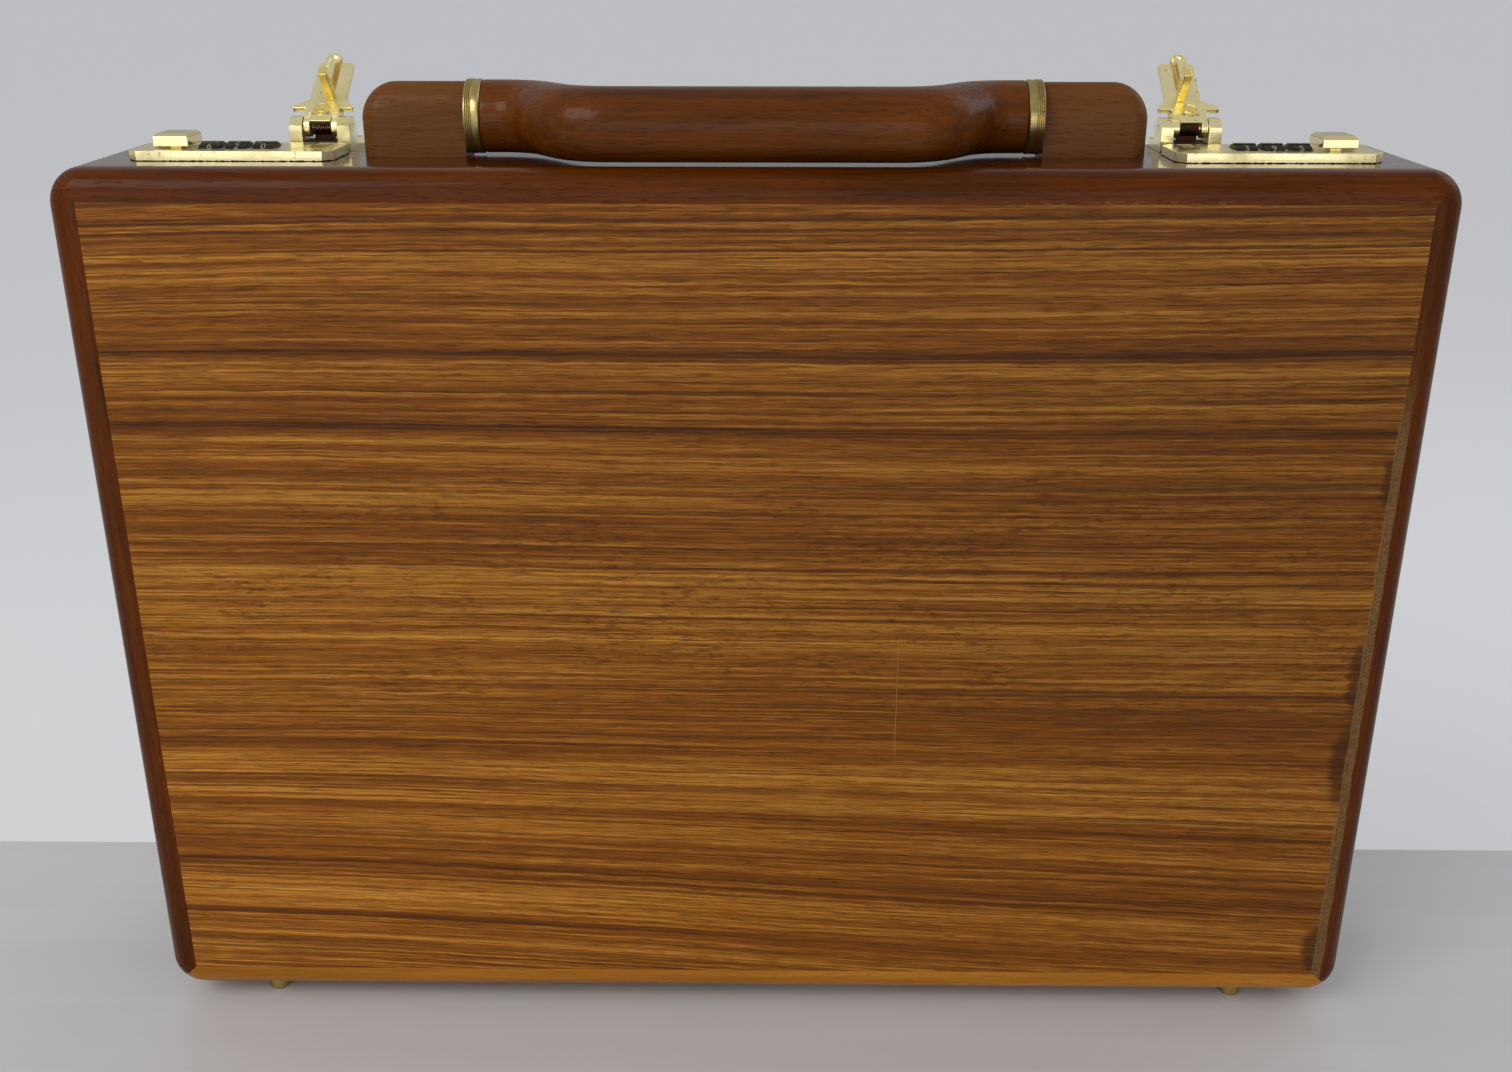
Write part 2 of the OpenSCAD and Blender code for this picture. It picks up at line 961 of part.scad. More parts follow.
module hasp_bracket() {
    front = bracket_y - hasp_y;
    low = top_z - hasp_z;
    difference() {
        union() {
            at_hasp()
                block([-bracket_w / 2, front, low], [bracket_w / 2, front + bracket_l, low + plate_t]);
            at_hasp()
                for (x = [-bracket_w / 2, lug_in])
                    along_x(x, x + lug_w)
                        lug_profile(front, low);
        }
        at_hasp()
            rod_x(-bracket_w, bracket_w, 0, 0, hasp_pin_d + 2 * fit);
        bracket_screws_left(fit);
    }
}

module lug_profile(front, low) {
    rear = front + lug_l;
    polygon([
        [front, low], [rear, low], [rear, lug_foot], [rear - lug_cut, lug_top],
        [front + lug_cut, lug_top], [front, lug_top - lug_cut]
    ]);
}

module hasp_bracket_left() {
    color(brass)
        hasp_bracket();
}

module hasp_bracket_right() {
    color(brass)
        mirror([1, 0, 0])
            hasp_bracket();
}

module hasp_pins() {
    color(brass)
        both_ends()
            at_hasp()
                rod_x(-bracket_w / 2, bracket_w / 2, 0, 0, hasp_pin_d);
}

// Two countersunk screws behind the lugs of a bracket
module bracket_screws_left(grow = 0) {
    y = bracket_y + (lug_l + bracket_l) / 2;
    for (x = [-bracket_w / 4, bracket_w / 4])
        translate([-lock_x + hasp_x + x, y, top_z + plate_t])
            screw(bracket_screw_d, 2 * bracket_screw_d, bracket_screw_head, bracket_screw_l, grow);
}

module bracket_screws() {
    color(brass)
        both_ends()
            bracket_screws_left();
}

module stay_pivots_lid() {
    color(brass)
        both_ends()
            stay_stud_lid();
}

// Coil spring round the hasp's pin: a six-sided wire swept along a helix
spring_steps = 8;
spring_sides = 6;
spring_rings = round(spring_turns * spring_steps);
function spring_point(i) = [
    (i / spring_steps - spring_turns / 2) * spring_pitch,
    spring_r * cos(360 * i / spring_steps),
    spring_r * sin(360 * i / spring_steps)
];
function spring_ring(i) = let(
    a = 360 * i / spring_steps,
    lean = atan(spring_pitch / (2 * PI * spring_r)),
    across = [cos(lean), sin(a) * sin(lean), -cos(a) * sin(lean)],
    out = [0, cos(a), sin(a)]
) [for (k = [0 : spring_sides - 1])
    spring_point(i) + spring_wire / 2 * (cos(60 * k) * out + sin(60 * k) * across)];

module coil_spring() {
    skinned([for (i = [0 : spring_rings]) spring_ring(i)], spring_sides);
}

// Least gap between two turns, measured between the wire's corner points
spring_gaps = [for (i = [0 : spring_rings - spring_steps]) for (p = spring_ring(i))
    for (q = spring_ring(i + spring_steps)) norm(p - q)];
echo(least_spring_gap = min(spring_gaps));

module hasp_springs() {
    color(steel)
        both_ends()
            at_hasp()
                coil_spring();
}

// Middle line of the grip's left half, from its end to the middle: [place, heading angle]
bend_steps = 8;
grip_sides = 32;
bend_fall = 2 * bend_r * (1 - cos(bend_a));
bend_run = (grip_reach - bend_fall) / sin(bend_a);
function first_bend(a) = [-bend_x + bend_r * sin(a), -bend_r * (1 - cos(a))];
function second_bend(a) = first_bend(bend_a) + bend_run * [cos(bend_a), -sin(bend_a)]
    + bend_r * [sin(bend_a) - sin(a), cos(bend_a) - cos(a)];
left_line = concat(
    [[[-ferrule_x, 0], 0]],
    [for (i = [0 : bend_steps]) let(a = bend_a * i / bend_steps) [first_bend(a), a]],
    [for (i = [bend_steps : -1 : 0]) let(a = bend_a * i / bend_steps) [second_bend(a), a]]
);
grip_line = concat(
    left_line,
    [for (i = [len(left_line) - 1 : -1 : 0]) let(s = left_line[i]) [[-s[0][0], s[0][1]], -s[1]]]
);

function grip_ring(s) = [for (k = [0 : grip_sides - 1])
    let(a = 360 * k / grip_sides, out = grip_d / 2 * cos(a))
    [s[0][0] + out * sin(s[1]), grip_y + s[0][1] + out * cos(s[1]), grip_z + grip_d / 2 * sin(a)]];

// Tube skinned over rings of points, closed at both ends
module skinned(rings, sides) {
    last = (len(rings) - 1) * sides;
    walls = [for (i = [0 : len(rings) - 2]) for (k = [0 : sides - 1])
        let(a = i * sides + k, b = i * sides + (k + 1) % sides)
        each [[a, a + sides, b], [b, a + sides, b + sides]]];
    first = [for (k = [1 : sides - 2]) [0, k, k + 1]];
    end = [for (k = [1 : sides - 2]) [last, last + k + 1, last + k]];
    polyhedron([for (ring = rings) each ring], concat(walls, first, end));
}

module handle_grip() {
    color(rosewood)
        difference() {
            union() {
                skinned([for (s = grip_line) grip_ring(s)], grip_sides);
                both_ends()
                    rod_x(-ferrule_x - ferrule_w + tenon_short, -bend_x, grip_y, grip_z, grip_tenon_d);
            }
            both_ends()
                rod_x(-block_x - over, -block_x + grip_pin_half + clear, grip_y, grip_z,
                      grip_pin_d + 2 * fit);
        }
}

// Ring with three fine grooves
module ferrule() {
    translate([-ferrule_x - ferrule_w, grip_y, grip_z])
        rotate([0, 90, 0])
            rotate_extrude()
                difference() {
                    translate([grip_tenon_d / 2 + fit, 0])
                        square([(ferrule_d - grip_tenon_d) / 2 - fit, ferrule_w]);
                    for (i = [1 : 3])
                        translate([ferrule_d / 2 - groove_deep, i * ferrule_w / 4 - groove_w / 2])
                            square([over, groove_w]);
                }
}

module ferrule_left() {
    color(brass)
        ferrule();
}

module ferrule_right() {
    color(brass)
        mirror([1, 0, 0])
            ferrule();
}

// Turns a hasp drawn closed, about its axis, to where it stands open
module hasp_opened() {
    at_hasp()
        rotate([-hasp_open, 0, 0])
            children();
}

// Outline of the hasp's plate: root between the ears, shoulders, and a neck with rounded corners
module hasp_outline() {
    w = bracket_w / 2;
    n = neck_w / 2;
    r = hasp_corner_r;
    end = -hasp_reach + r;
    polygon([
        [-ear_in, -hasp_root], [ear_in, -hasp_root], [ear_in, -hasp_rear], [w, -hasp_rear],
        [w, -hasp_rear - hasp_side], [n, -hasp_wide], [n, end], [n - r, end - r],
        [-n + r, end - r], [-n, end], [-n, -hasp_wide], [-w, -hasp_rear - hasp_side],
        [-w, -hasp_rear], [-ear_in, -hasp_rear]
    ]);
    for (x = [-n + r, n - r])
        translate([x, end])
            circle(r);
}

// Hasp drawn closed: plate over the lock, tongue, ears and the bore for the pin
module hasp() {
    low = -hasp_low;
    hasp_opened()
        difference() {
            union() {
                translate([0, 0, low])
                    linear_extrude(hasp_t)
                        hasp_outline();
                hasp_tongue(low);
                for (x = [-ear_in - ear_w, ear_in])
                    hasp_ear(x, low);
            }
            rod_x(-bracket_w, bracket_w, 0, 0, hasp_pin_d + 2 * fit);
        }
}

// Pressed rib down the middle of the hasp, with a rounded tip for the thumb
module hasp_tongue(low) {
    rib_w = neck_w * 0.45;
    translate([0, 0, low])
        linear_extrude(hasp_t + rib_h) {
            translate([-rib_w / 2, -tongue_reach + rib_w / 2])
                square([rib_w, tongue_reach - rib_w / 2 - hasp_wide]);
            translate([0, -tongue_reach + rib_w / 2])
                circle(d = rib_w);
        }
}

module hasp_ear(x, low) {
    along_x(x, x + ear_w) {
        circle(ear_r);
        polygon([
            [-hasp_wide, low], [-hasp_wide, low + hasp_t],
            ear_r * [cos(105), sin(105)], ear_r * [cos(105), -sin(105)], [-ear_r, low]
        ]);
    }
}

module hasp_left() {
    color(brass)
        hasp();
}

module hasp_right() {
    color(brass)
        mirror([1, 0, 0])
            hasp();
}

// Hook riveted under the hasp, notched for the bolt
module hook() {
    x = hook_x - hasp_x;
    hasp_opened()
        difference() {
            block([x - hook_t / 2, -hook_near, -hasp_low - hook_l], [x + hook_t / 2, -hook_far, -hasp_low]);
            block([x - hook_t, -hook_near - over, -notch_top - notch_h],
                  [x + hook_t, -hook_near + nose_w + clear, -notch_top]);
        }
}

module hook_left() {
    color(steel)
        hook();
}

module hook_right() {
    color(steel)
        mirror([1, 0, 0])
            hook();
}

// Square slide button with bevelled edges, on a stem that reaches the bolt
module lock_button() {
    low = plate_z + button_gap;
    translate([-lock_x - button_x, lock_y, 0])
        intersection() {
            union() {
                translate([-button_l / 2, -button_w / 2, low])
                    cube([button_l, button_w, button_h]);
                block([-stem_l / 2, -stem_w / 2, bolt_z + bolt_t], [stem_l / 2, stem_w / 2, low]);
            }
            translate([0, 0, top_z])
                along_y(-button_w, button_w)
                    bevelled(button_l, low + button_h - top_z, button_bevel);
            translate([0, 0, top_z])
                along_x(-button_l, button_l)
                    bevelled(button_w, low + button_h - top_z, button_bevel);
        }
}

module bevelled(w, h, c) {
    deep = 2 * lock_depth;
    polygon([
        [-w / 2, -deep], [w / 2, -deep], [w / 2, h - c], [w / 2 - c, h], [-w / 2 + c, h], [-w / 2, h - c]
    ]);
}

module lock_button_left() {
    color(brass)
        lock_button();
}

module lock_button_right() {
    color(brass)
        mirror([1, 0, 0])
            lock_button();
}

// Bolt: a bar under the dials, a cross piece, and a nose that enters the hook's notch
module lock_bolt() {
    cross_x = web_x + web_t + button_travel + clear;
    nose_y = hasp_y - hook_near - lock_y;
    nose_z = hasp_z - notch_top - notch_h + clear;
    at_lock() {
        block([-button_x - stem_l / 2, -bolt_w / 2, bolt_z],
              [cross_x + cross_l, bolt_w / 2, bolt_z + bolt_t]);
        block([cross_x, -bolt_w / 2, bolt_z], [cross_x + cross_l, nose_y + nose_w, nose_z + nose_h]);
        block([cross_x, nose_y, nose_z], [hook_x - hook_t / 2 - clear, nose_y + nose_w, nose_z + nose_h]);
    }
}

module lock_bolt_left() {
    color(steel)
        lock_bolt();
}

module lock_bolt_right() {
    color(steel)
        mirror([1, 0, 0])
            lock_bolt();
}

// Dial wheel with ten finger notches on its rim
module dial(place) {
    notches = 10;
    at_lock()
        translate([place * dial_pitch, 0, dial_z])
            difference() {
                rod_x(-dial_w / 2, dial_w / 2, 0, 0, dial_d);
                rod_x(-dial_w, dial_w, 0, 0, dial_shaft_d + 2 * fit);
                for (i = [0 : notches - 1])
                    rotate([(i + 0.5) * 360 / notches, 0, 0])
                        rod_x(-dial_w, dial_w, 0, dial_d / 2 + notch_out, 2 * notch_r);
            }
}

module dial_left_1() {
    color(black)
        dial(-1);
}

module dial_left_2() {
    color(black)
        dial(0);
}

module dial_left_3() {
    color(black)
        dial(1);
}

module dial_right_1() {
    color(black)
        mirror([1, 0, 0])
            dial(1);
}

module dial_right_2() {
    color(black)
        mirror([1, 0, 0])
            dial(0);
}

module dial_right_3() {
    color(black)
        mirror([1, 0, 0])
            dial(-1);
}

// Arm of a stay, from its pivot at the origin up along Z to the joint
module stay_arm(x, hole_low, hole_high) {
    along_x(-x, -x + stay_t)
        difference() {
            union() {
                translate([-stay_w / 2, 0])
                    square([stay_w, stay_r]);
                circle(d = stay_w);
                translate([0, stay_r])
                    circle(d = stay_w);
            }
            circle(d = hole_low);
            translate([0, stay_r])
                circle(d = hole_high);
        }
}

// Lower arms pivot on the base and carry the rivet of the middle joint
module stay_arms_lower() {
    bore = stay_pin_d + 2 * fit;
    color(brass)
        both_ends() {
            translate([0, seam_y - stay_off, pivot_z])
                rotate([-stay_lean, 0, 0])
                    stay_arm(lower_arm_x, bore, rivet_hole_d);
            stay_rivet();
        }
}

// Rivet through both arms at the middle joint
module stay_rivet() {
    r = stay_pin_d / 2 - rivet_play;
    l = 2 * stay_t + 2 * clear;
    translate([-lower_arm_x, seam_y, joint_z])
        rotate([0, 90, 0])
            rotate_extrude()
                polygon([
                    [0, 0], [r, 0], [r, l], [r + rivet_rim, l],
                    [r + rivet_rim / 2, l + rivet_h], [0, l + rivet_h]
                ]);
}

// Upper arms pivot on the lid
module stay_arms_upper() {
    bore = stay_pin_d + 2 * fit;
    color(brass)
        both_ends()
            translate([0, seam_y + stay_off, pivot_z])
                rotate([stay_lean, 0, 0])
                    stay_arm(upper_arm_x, bore, bore);
}

base_top_rail();
base_bottom_rail();
base_left_rail();
base_right_rail();
base_panel();
base_veneer();
base_lining();
base_feet();
hinge_leaf_base();
hinge_pin();
hinge_screws_base();
handle_block_left();
handle_block_right();
handle_pins();
handle_screws();
lock_plate_left();
lock_plate_right();
lock_case_left();
lock_case_right();
dial_shafts();
lock_screws();
stay_pivots_base();
lid_top_rail();
lid_bottom_rail();
lid_left_rail();
lid_right_rail();
lid_panel();
lid_veneer();
lid_lining();
lid_feet();
hinge_leaf_lid();
hinge_screws_lid();
hasp_bracket_left();
hasp_bracket_right();
hasp_pins();
hasp_springs();
bracket_screws();
stay_pivots_lid();
handle_grip();
ferrule_left();
ferrule_right();
hasp_left();
hasp_right();
hook_left();
hook_right();
lock_button_left();
lock_button_right();
lock_bolt_left();
lock_bolt_right();
dial_left_1();
dial_left_2();
dial_left_3();
dial_right_1();
dial_right_2();
dial_right_3();
stay_arms_upper();
stay_arms_lower();
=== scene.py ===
"""Looks of a wooden attache case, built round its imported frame: teak veneer let into a dark frame,
a bent grip between two blocks, and two brass combination locks with their hasps sprung open."""

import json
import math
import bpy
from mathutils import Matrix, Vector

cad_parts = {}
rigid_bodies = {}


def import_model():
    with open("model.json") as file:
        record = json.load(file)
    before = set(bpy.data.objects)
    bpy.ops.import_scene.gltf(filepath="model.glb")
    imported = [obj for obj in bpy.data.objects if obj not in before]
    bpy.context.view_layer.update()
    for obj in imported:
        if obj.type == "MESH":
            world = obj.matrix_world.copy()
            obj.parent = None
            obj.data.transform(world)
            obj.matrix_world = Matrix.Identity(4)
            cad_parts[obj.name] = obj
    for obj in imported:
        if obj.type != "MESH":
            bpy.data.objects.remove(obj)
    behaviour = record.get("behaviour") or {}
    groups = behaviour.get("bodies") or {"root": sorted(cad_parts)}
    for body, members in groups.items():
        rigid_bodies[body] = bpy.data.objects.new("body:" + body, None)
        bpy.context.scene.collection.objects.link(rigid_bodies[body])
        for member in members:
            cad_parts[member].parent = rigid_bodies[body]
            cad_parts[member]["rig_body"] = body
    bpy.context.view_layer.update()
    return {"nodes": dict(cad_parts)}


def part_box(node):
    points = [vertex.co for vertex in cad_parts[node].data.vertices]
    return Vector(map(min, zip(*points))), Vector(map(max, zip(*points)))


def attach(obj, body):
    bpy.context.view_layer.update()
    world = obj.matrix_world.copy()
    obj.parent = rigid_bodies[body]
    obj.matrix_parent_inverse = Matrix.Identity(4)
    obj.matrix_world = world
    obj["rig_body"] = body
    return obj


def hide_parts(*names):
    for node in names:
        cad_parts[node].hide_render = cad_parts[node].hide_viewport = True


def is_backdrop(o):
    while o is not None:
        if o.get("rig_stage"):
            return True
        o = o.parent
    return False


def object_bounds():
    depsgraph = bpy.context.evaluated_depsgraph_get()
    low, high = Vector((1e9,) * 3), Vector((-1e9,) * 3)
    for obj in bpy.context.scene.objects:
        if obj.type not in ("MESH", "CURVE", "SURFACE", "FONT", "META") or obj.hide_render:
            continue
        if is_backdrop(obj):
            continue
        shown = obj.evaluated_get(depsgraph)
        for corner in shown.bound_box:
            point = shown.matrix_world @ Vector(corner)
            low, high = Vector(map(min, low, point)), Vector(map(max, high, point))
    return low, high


bl_info = {
    "name": "Wooden Attache Case",
    "version": (1, 0, 0),
    "blender": (4, 5, 0),
    "location": "View3D > Sidebar > Case",
    "description": "Builds the visible pieces of a wooden attache case round its packed frame",
    "category": "Add Mesh",
}

import bmesh
import bpy
from bpy.props import FloatProperty, FloatVectorProperty, IntProperty, PointerProperty
from mathutils import Matrix, Vector

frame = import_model()
NODES = frame["nodes"]

HALVES = ("base", "lid")
SIDES = ("left", "right")
MM = 0.001
MERGE = 2e-6
FLAT = math.radians(0.4)
SHARP = math.radians(32)
HASP_OPEN = math.radians(144)


def srgb(red, green, blue):
    """A colour as it is seen on a screen, 0 to 255, as the linear numbers that a shader takes."""
    parts = [c / 255 for c in (red, green, blue)]
    linear = [c / 12.92 if c <= 0.04045 else ((c + 0.055) / 1.055) ** 2.4 for c in parts]
    return (*linear, 1.0)


def colour(name, description, *rgb):
    """A colour that the user can change."""
    return FloatVectorProperty(
        name=name, description=description, subtype="COLOR", size=4, min=0, max=1, default=srgb(*rgb)
    )


def length(name, description, millimetres, low, high):
    """A length that the user can change."""
    return FloatProperty(
        name=name, description=description, subtype="DISTANCE", unit="LENGTH",
        default=millimetres * MM, min=low * MM, max=high * MM, precision=5,
    )


def power(name, description, watts):
    """A lamp's power that the user can change."""
    return FloatProperty(name=name, description=description, default=watts, min=0, unit="POWER")


def count(name, description, default, low, high):
    """A number of sides, steps or turns that the user can change."""
    return IntProperty(name=name, description=description, default=default, min=low, max=high)


class CASE_PG_sizes(bpy.types.PropertyGroup):
    """Sizes of the details that the frame leaves to the finished pieces"""

    rail_edge: length("Rail edge", "Rounding left by sanding along the edges of a rail", 0.35, 0.05, 1)
    block_round: length("Block rounding", "Rounding of a handle block's outer corner", 6, 1, 6.5)
    block_top: length("Block top rounding", "Rounding of a handle block's outer top corner", 12, 4, 14)
    ridge: length("Ferrule ridge", "Height of the fine ridges round a ferrule", 0.25, 0.05, 0.3)
    wire: length("Spring wire", "Diameter of the wire of a hasp's spring", 0.6, 0.3, 0.9)
    coil: length("Spring radius", "Radius of a hasp's spring, on the wire's middle line", 2.3, 1.9, 2.55)
    groove: length("Hasp groove", "Depth of the groove in the underside of a hasp", 1.2, 0.3, 1.5)
    digit: length("Digit height", "Height of the digits on the dials", 2.7, 1.5, 3.2)
    spring_turns: count("Spring turns", "Turns of a hasp's spring", 9, 3, 9)
    grip_sides: count("Grip sides", "Sides of the grip's section", 48, 16, 96)


class CASE_PG_colours(bpy.types.PropertyGroup):
    """Colours of the finishes"""

    veneer_light: colour("Veneer, light", "Golden growth lines of the veneer", 194, 136, 52)
    veneer_mid: colour("Veneer, middle", "Ground colour of the veneer", 126, 71, 9)
    veneer_dark: colour("Veneer, dark", "Dark growth lines of the veneer", 62, 30, 5)
    frame_light: colour("Frame, light", "Light grain of the dark rails", 108, 52, 4)
    frame_dark: colour("Frame, dark", "Dark grain of the dark rails", 43, 16, 1)
    sill_light: colour("Sill, light", "Light grain of the golden bottom rail", 190, 126, 44)
    sill_dark: colour("Sill, dark", "Dark grain of the golden bottom rail", 134, 80, 16)
    grip_light: colour("Grip, light", "Light grain of the grip", 114, 60, 10)
    grip_dark: colour("Grip, dark", "Dark grain of the grip", 48, 19, 1)
    block_light: colour("Block, light", "Light grain of the handle's blocks", 118, 74, 36)
    block_dark: colour("Block, dark", "Dark grain of the handle's blocks", 80, 44, 16)
    worn: colour("Worn wood", "Bare wood where the finish has gone", 122, 94, 58)
    brass: colour("Brass", "Polished brass of the locks", 250, 238, 182)
    aged_brass: colour("Aged brass", "Dull brass of feet, stays and hinge", 186, 158, 92)
    hook_brass: colour("Hook brass", "Yellow brass of the hooks", 250, 226, 136)
    ferrule: colour("Ferrule", "Pale brass of the handle's ferrules", 178, 158, 102)
    tarnish: colour("Tarnish", "Stains on the brass", 96, 82, 44)
    steel: colour("Steel", "Bare steel of the bolts and lock cases", 168, 168, 170)
    spring: colour("Spring", "Browned steel of the hasps' springs", 74, 44, 28)
    dial: colour("Dial", "Black wheels of the combination", 34, 32, 24)
    digit: colour("Digits", "Paint of the digits", 150, 142, 110)
    # This colour is painted shade and reflection, laid down one flank of a hasp's groove.
    flank: colour("Groove", "Tarnish in the groove of a hasp", 186, 144, 60)
    # Painted shade: this dark brown fills the hollow between a bracket's lugs. Along a lock plate's foot it
    # makes a dark line that is partly dirt and partly painted contact shade.
    grime: colour("Grime", "Dirt between the lugs of a hasp's bracket", 46, 24, 12)
    cloth: colour("Lining", "Cloth inside the case", 110, 84, 60)
    shelf: colour("Shelf", "Shelf that the case stands on", 206, 206, 208)
    backdrop: colour("Backdrop", "Ground behind the shelf and below it", 232, 233, 236)


class CASE_PG_lights(bpy.types.PropertyGroup):
    """Strength of the studio's lights"""

    window: power("Window", "Power of the large soft light", 8)
    front: power("Front", "Power of the wide low light", 6.5)
    fill: power("Fill", "Power of the light from the right", 2)
    sky: FloatProperty(name="Sky", description="Strength of the light from all round", default=0.52, min=0)


def sizes():
    """The sizes in the panel."""
    return bpy.context.scene.case_sizes


def colours():
    """The colours in the panel."""
    return bpy.context.scene.case_colours


class Tree:
    """A node tree, written in the order in which it is worked out."""

    def __init__(self, owner):
        owner.use_nodes = True
        self.tree = owner.node_tree
        self.tree.nodes.clear()

    def add(self, kind, *values, **settings):
        """A node of that kind, with its settings and the values of its sockets in order."""
        node = self.tree.nodes.new(f"ShaderNode{kind}")
        for name, value in settings.items():
            setattr(node, name, value)
        for socket, value in zip(node.inputs, values):
            self.join(socket, value)
        return node

    def join(self, socket, value):
        """Gives a socket what another gives out, or a value."""
        if isinstance(value, bpy.types.NodeSocket):
            self.tree.links.new(value, socket)
        elif value is not None:
            socket.default_value = value

    def give(self, node, **values):
        """Gives a node's sockets their values, by name."""
        for socket, value in values.items():
            self.join(node.inputs[socket.replace("_", " ")], value)

    def ramp(self, value, stops):
        """Colour or grey by value, through (position, colour or grey) stops."""
        node = self.add("ValToRGB", value)
        for i, (position, shade) in enumerate(stops):
            stop = node.color_ramp.elements[i] if i < 2 else node.color_ramp.elements.new(position)
            stop.position = position
            stop.color = shade if hasattr(shade, "__len__") else (shade, shade, shade, 1)
        return node.outputs[0]


class Finish(Tree):
    """A material of one shader, worked out from the object's own places."""

    def __init__(self, name, roughness=0.5, metallic=0.0, **shader):
        self.material = bpy.data.materials.new(name)
        super().__init__(self.material)
        self.shader = self.add("BsdfPrincipled")
        self.add("OutputMaterial", self.shader.outputs["BSDF"])
        self.place = self.add("TexCoord").outputs["Object"]
        self.set(Roughness=roughness, Metallic=metallic, **shader)

    def set(self, **values):
        """Gives the shader's sockets their values, by name."""
        self.give(self.shader, **values)

    def given(self, socket):
        """What the shader is given now."""
        entry = self.shader.inputs[socket]
        return entry.links[0].from_socket if entry.is_linked else entry.default_value

    def math(self, operation, a, b=0.0, c=0.0, clamp=False):
        """What a math node makes of its values."""
        return self.add("Math", a, b, c, operation=operation, use_clamp=clamp).outputs[0]

    def times(self, product, *values):
        """Product of the values."""
        for value in values:
            product = self.math("MULTIPLY", product, value)
        return product

    def sum(self, *terms):
        """Sum of (share, value) pairs."""
        total = 0.0
        for share, value in terms:
            total = self.math("MULTIPLY_ADD", value, share, total)
        return total

    def shifted(self, value, share, scale, detail):
        """A value moved to and fro by noise, half that share each way."""
        shift = self.math("SUBTRACT", self.noise(scale, detail), 0.5)
        return self.math("MULTIPLY_ADD", shift, share, value)

    def split(self, place=None):
        """The three parts of a place."""
        return self.add("SeparateXYZ", place or self.place).outputs

    def join_xyz(self, x, y, z):
        """A place or a colour from three parts."""
        return self.add("CombineXYZ", x, y, z).outputs[0]

    def noise(self, scale, detail=2.0, place=None, rough=0.55, shift=0):
        """Noise whose grain is 1/scale metres long along each axis, shifted along X."""
        mapped = self.add("Mapping", place or self.place, (shift, 0, 0), None, scale).outputs[0]
        node = self.add("TexNoise", noise_dimensions="3D")
        self.give(node, Vector=mapped, Scale=1.0, Detail=detail, Roughness=rough)
        return node.outputs[0]

    def fade(self, value, start, end, low=0.0, high=1.0):
        """Smooth step from low, at start, to high, at end."""
        return self.add("MapRange", value, start, end, low, high, interpolation_type="SMOOTHSTEP").outputs[0]

    def between(self, value, low, high, soft):
        """Mask that is 1 from low to high and fades over soft on each side."""
        return self.times(self.fade(value, low - soft, low), self.fade(value, high, high + soft, 1.0, 0.0))

    def spot(self, place, centre, half):
        """Soft mask round a centre, with half its size along each axis."""
        apart = self.add("VectorMath", place, centre, operation="SUBTRACT").outputs[0]
        scaled = self.add("VectorMath", apart, half, operation="DIVIDE").outputs[0]
        reach = self.add("VectorMath", scaled, operation="LENGTH").outputs["Value"]
        return self.fade(reach, 0.6, 1.1, 1.0, 0.0)

    def mix(self, share, a, b, blend="MIX"):
        """Colour a, with that share of colour b."""
        node = self.add("Mix", data_type="RGBA", blend_type=blend)
        for place, value in ((0, share), (6, a), (7, b)):
            self.join(node.inputs[place], value)
        return node.outputs[2]

    def done(self, shade, relief, depth, rough=None):
        """Sets the colour, a fine relief of that depth, and the roughness where it isn't even."""
        bump = self.add("Bump")
        self.give(bump, Strength=1.0, Distance=depth, Height=relief)
        self.set(Base_Color=shade, Normal=bump.outputs[0])
        if rough is not None:
            self.set(Roughness=self.math("ADD", rough, 0.0, clamp=True))
        return self


# Growth bands of the teak, from the top down: height, half width, how dark
BANDS = (
    (0.3050, 0.0012, 0.35), (0.2878, 0.0010, 0.60), (0.2780, 0.0013, 0.45), (0.2612, 0.0022, 0.75),
    (0.2342, 0.0040, 0.55), (0.2128, 0.0011, 0.60), (0.1130, 0.0042, 0.45), (0.0842, 0.0014, 0.70),
    (0.0580, 0.0042, 0.50), (0.0330, 0.0012, 0.40),
)
BAND_SPAN = 0.32
# Worn edge of the base's veneer along X, and the stains beside it: height, half height, half width
WORN_X = 0.2140
STAINS = (
    (0.2166, 0.0105, 0.0036), (0.1430, 0.0165, 0.0048), (0.1085, 0.0190, 0.0066), (0.0285, 0.0120, 0.0062),
)
# Upright scratch in the base's veneer: its two sides, then its foot and its top
SCRATCH_X = (0.05135, 0.05150)
SCRATCH_Z = (0.114, 0.154)
# What moves the growth lines up and down: by how much, scale and detail of the noise
WAVES = ((0.011, (1.9, 30, 3.0), 1), (0.0016, (8, 30, 20), 1), (0.0009, (75, 40, 190), 2))
SPECK = (1300, 1300, 1300)


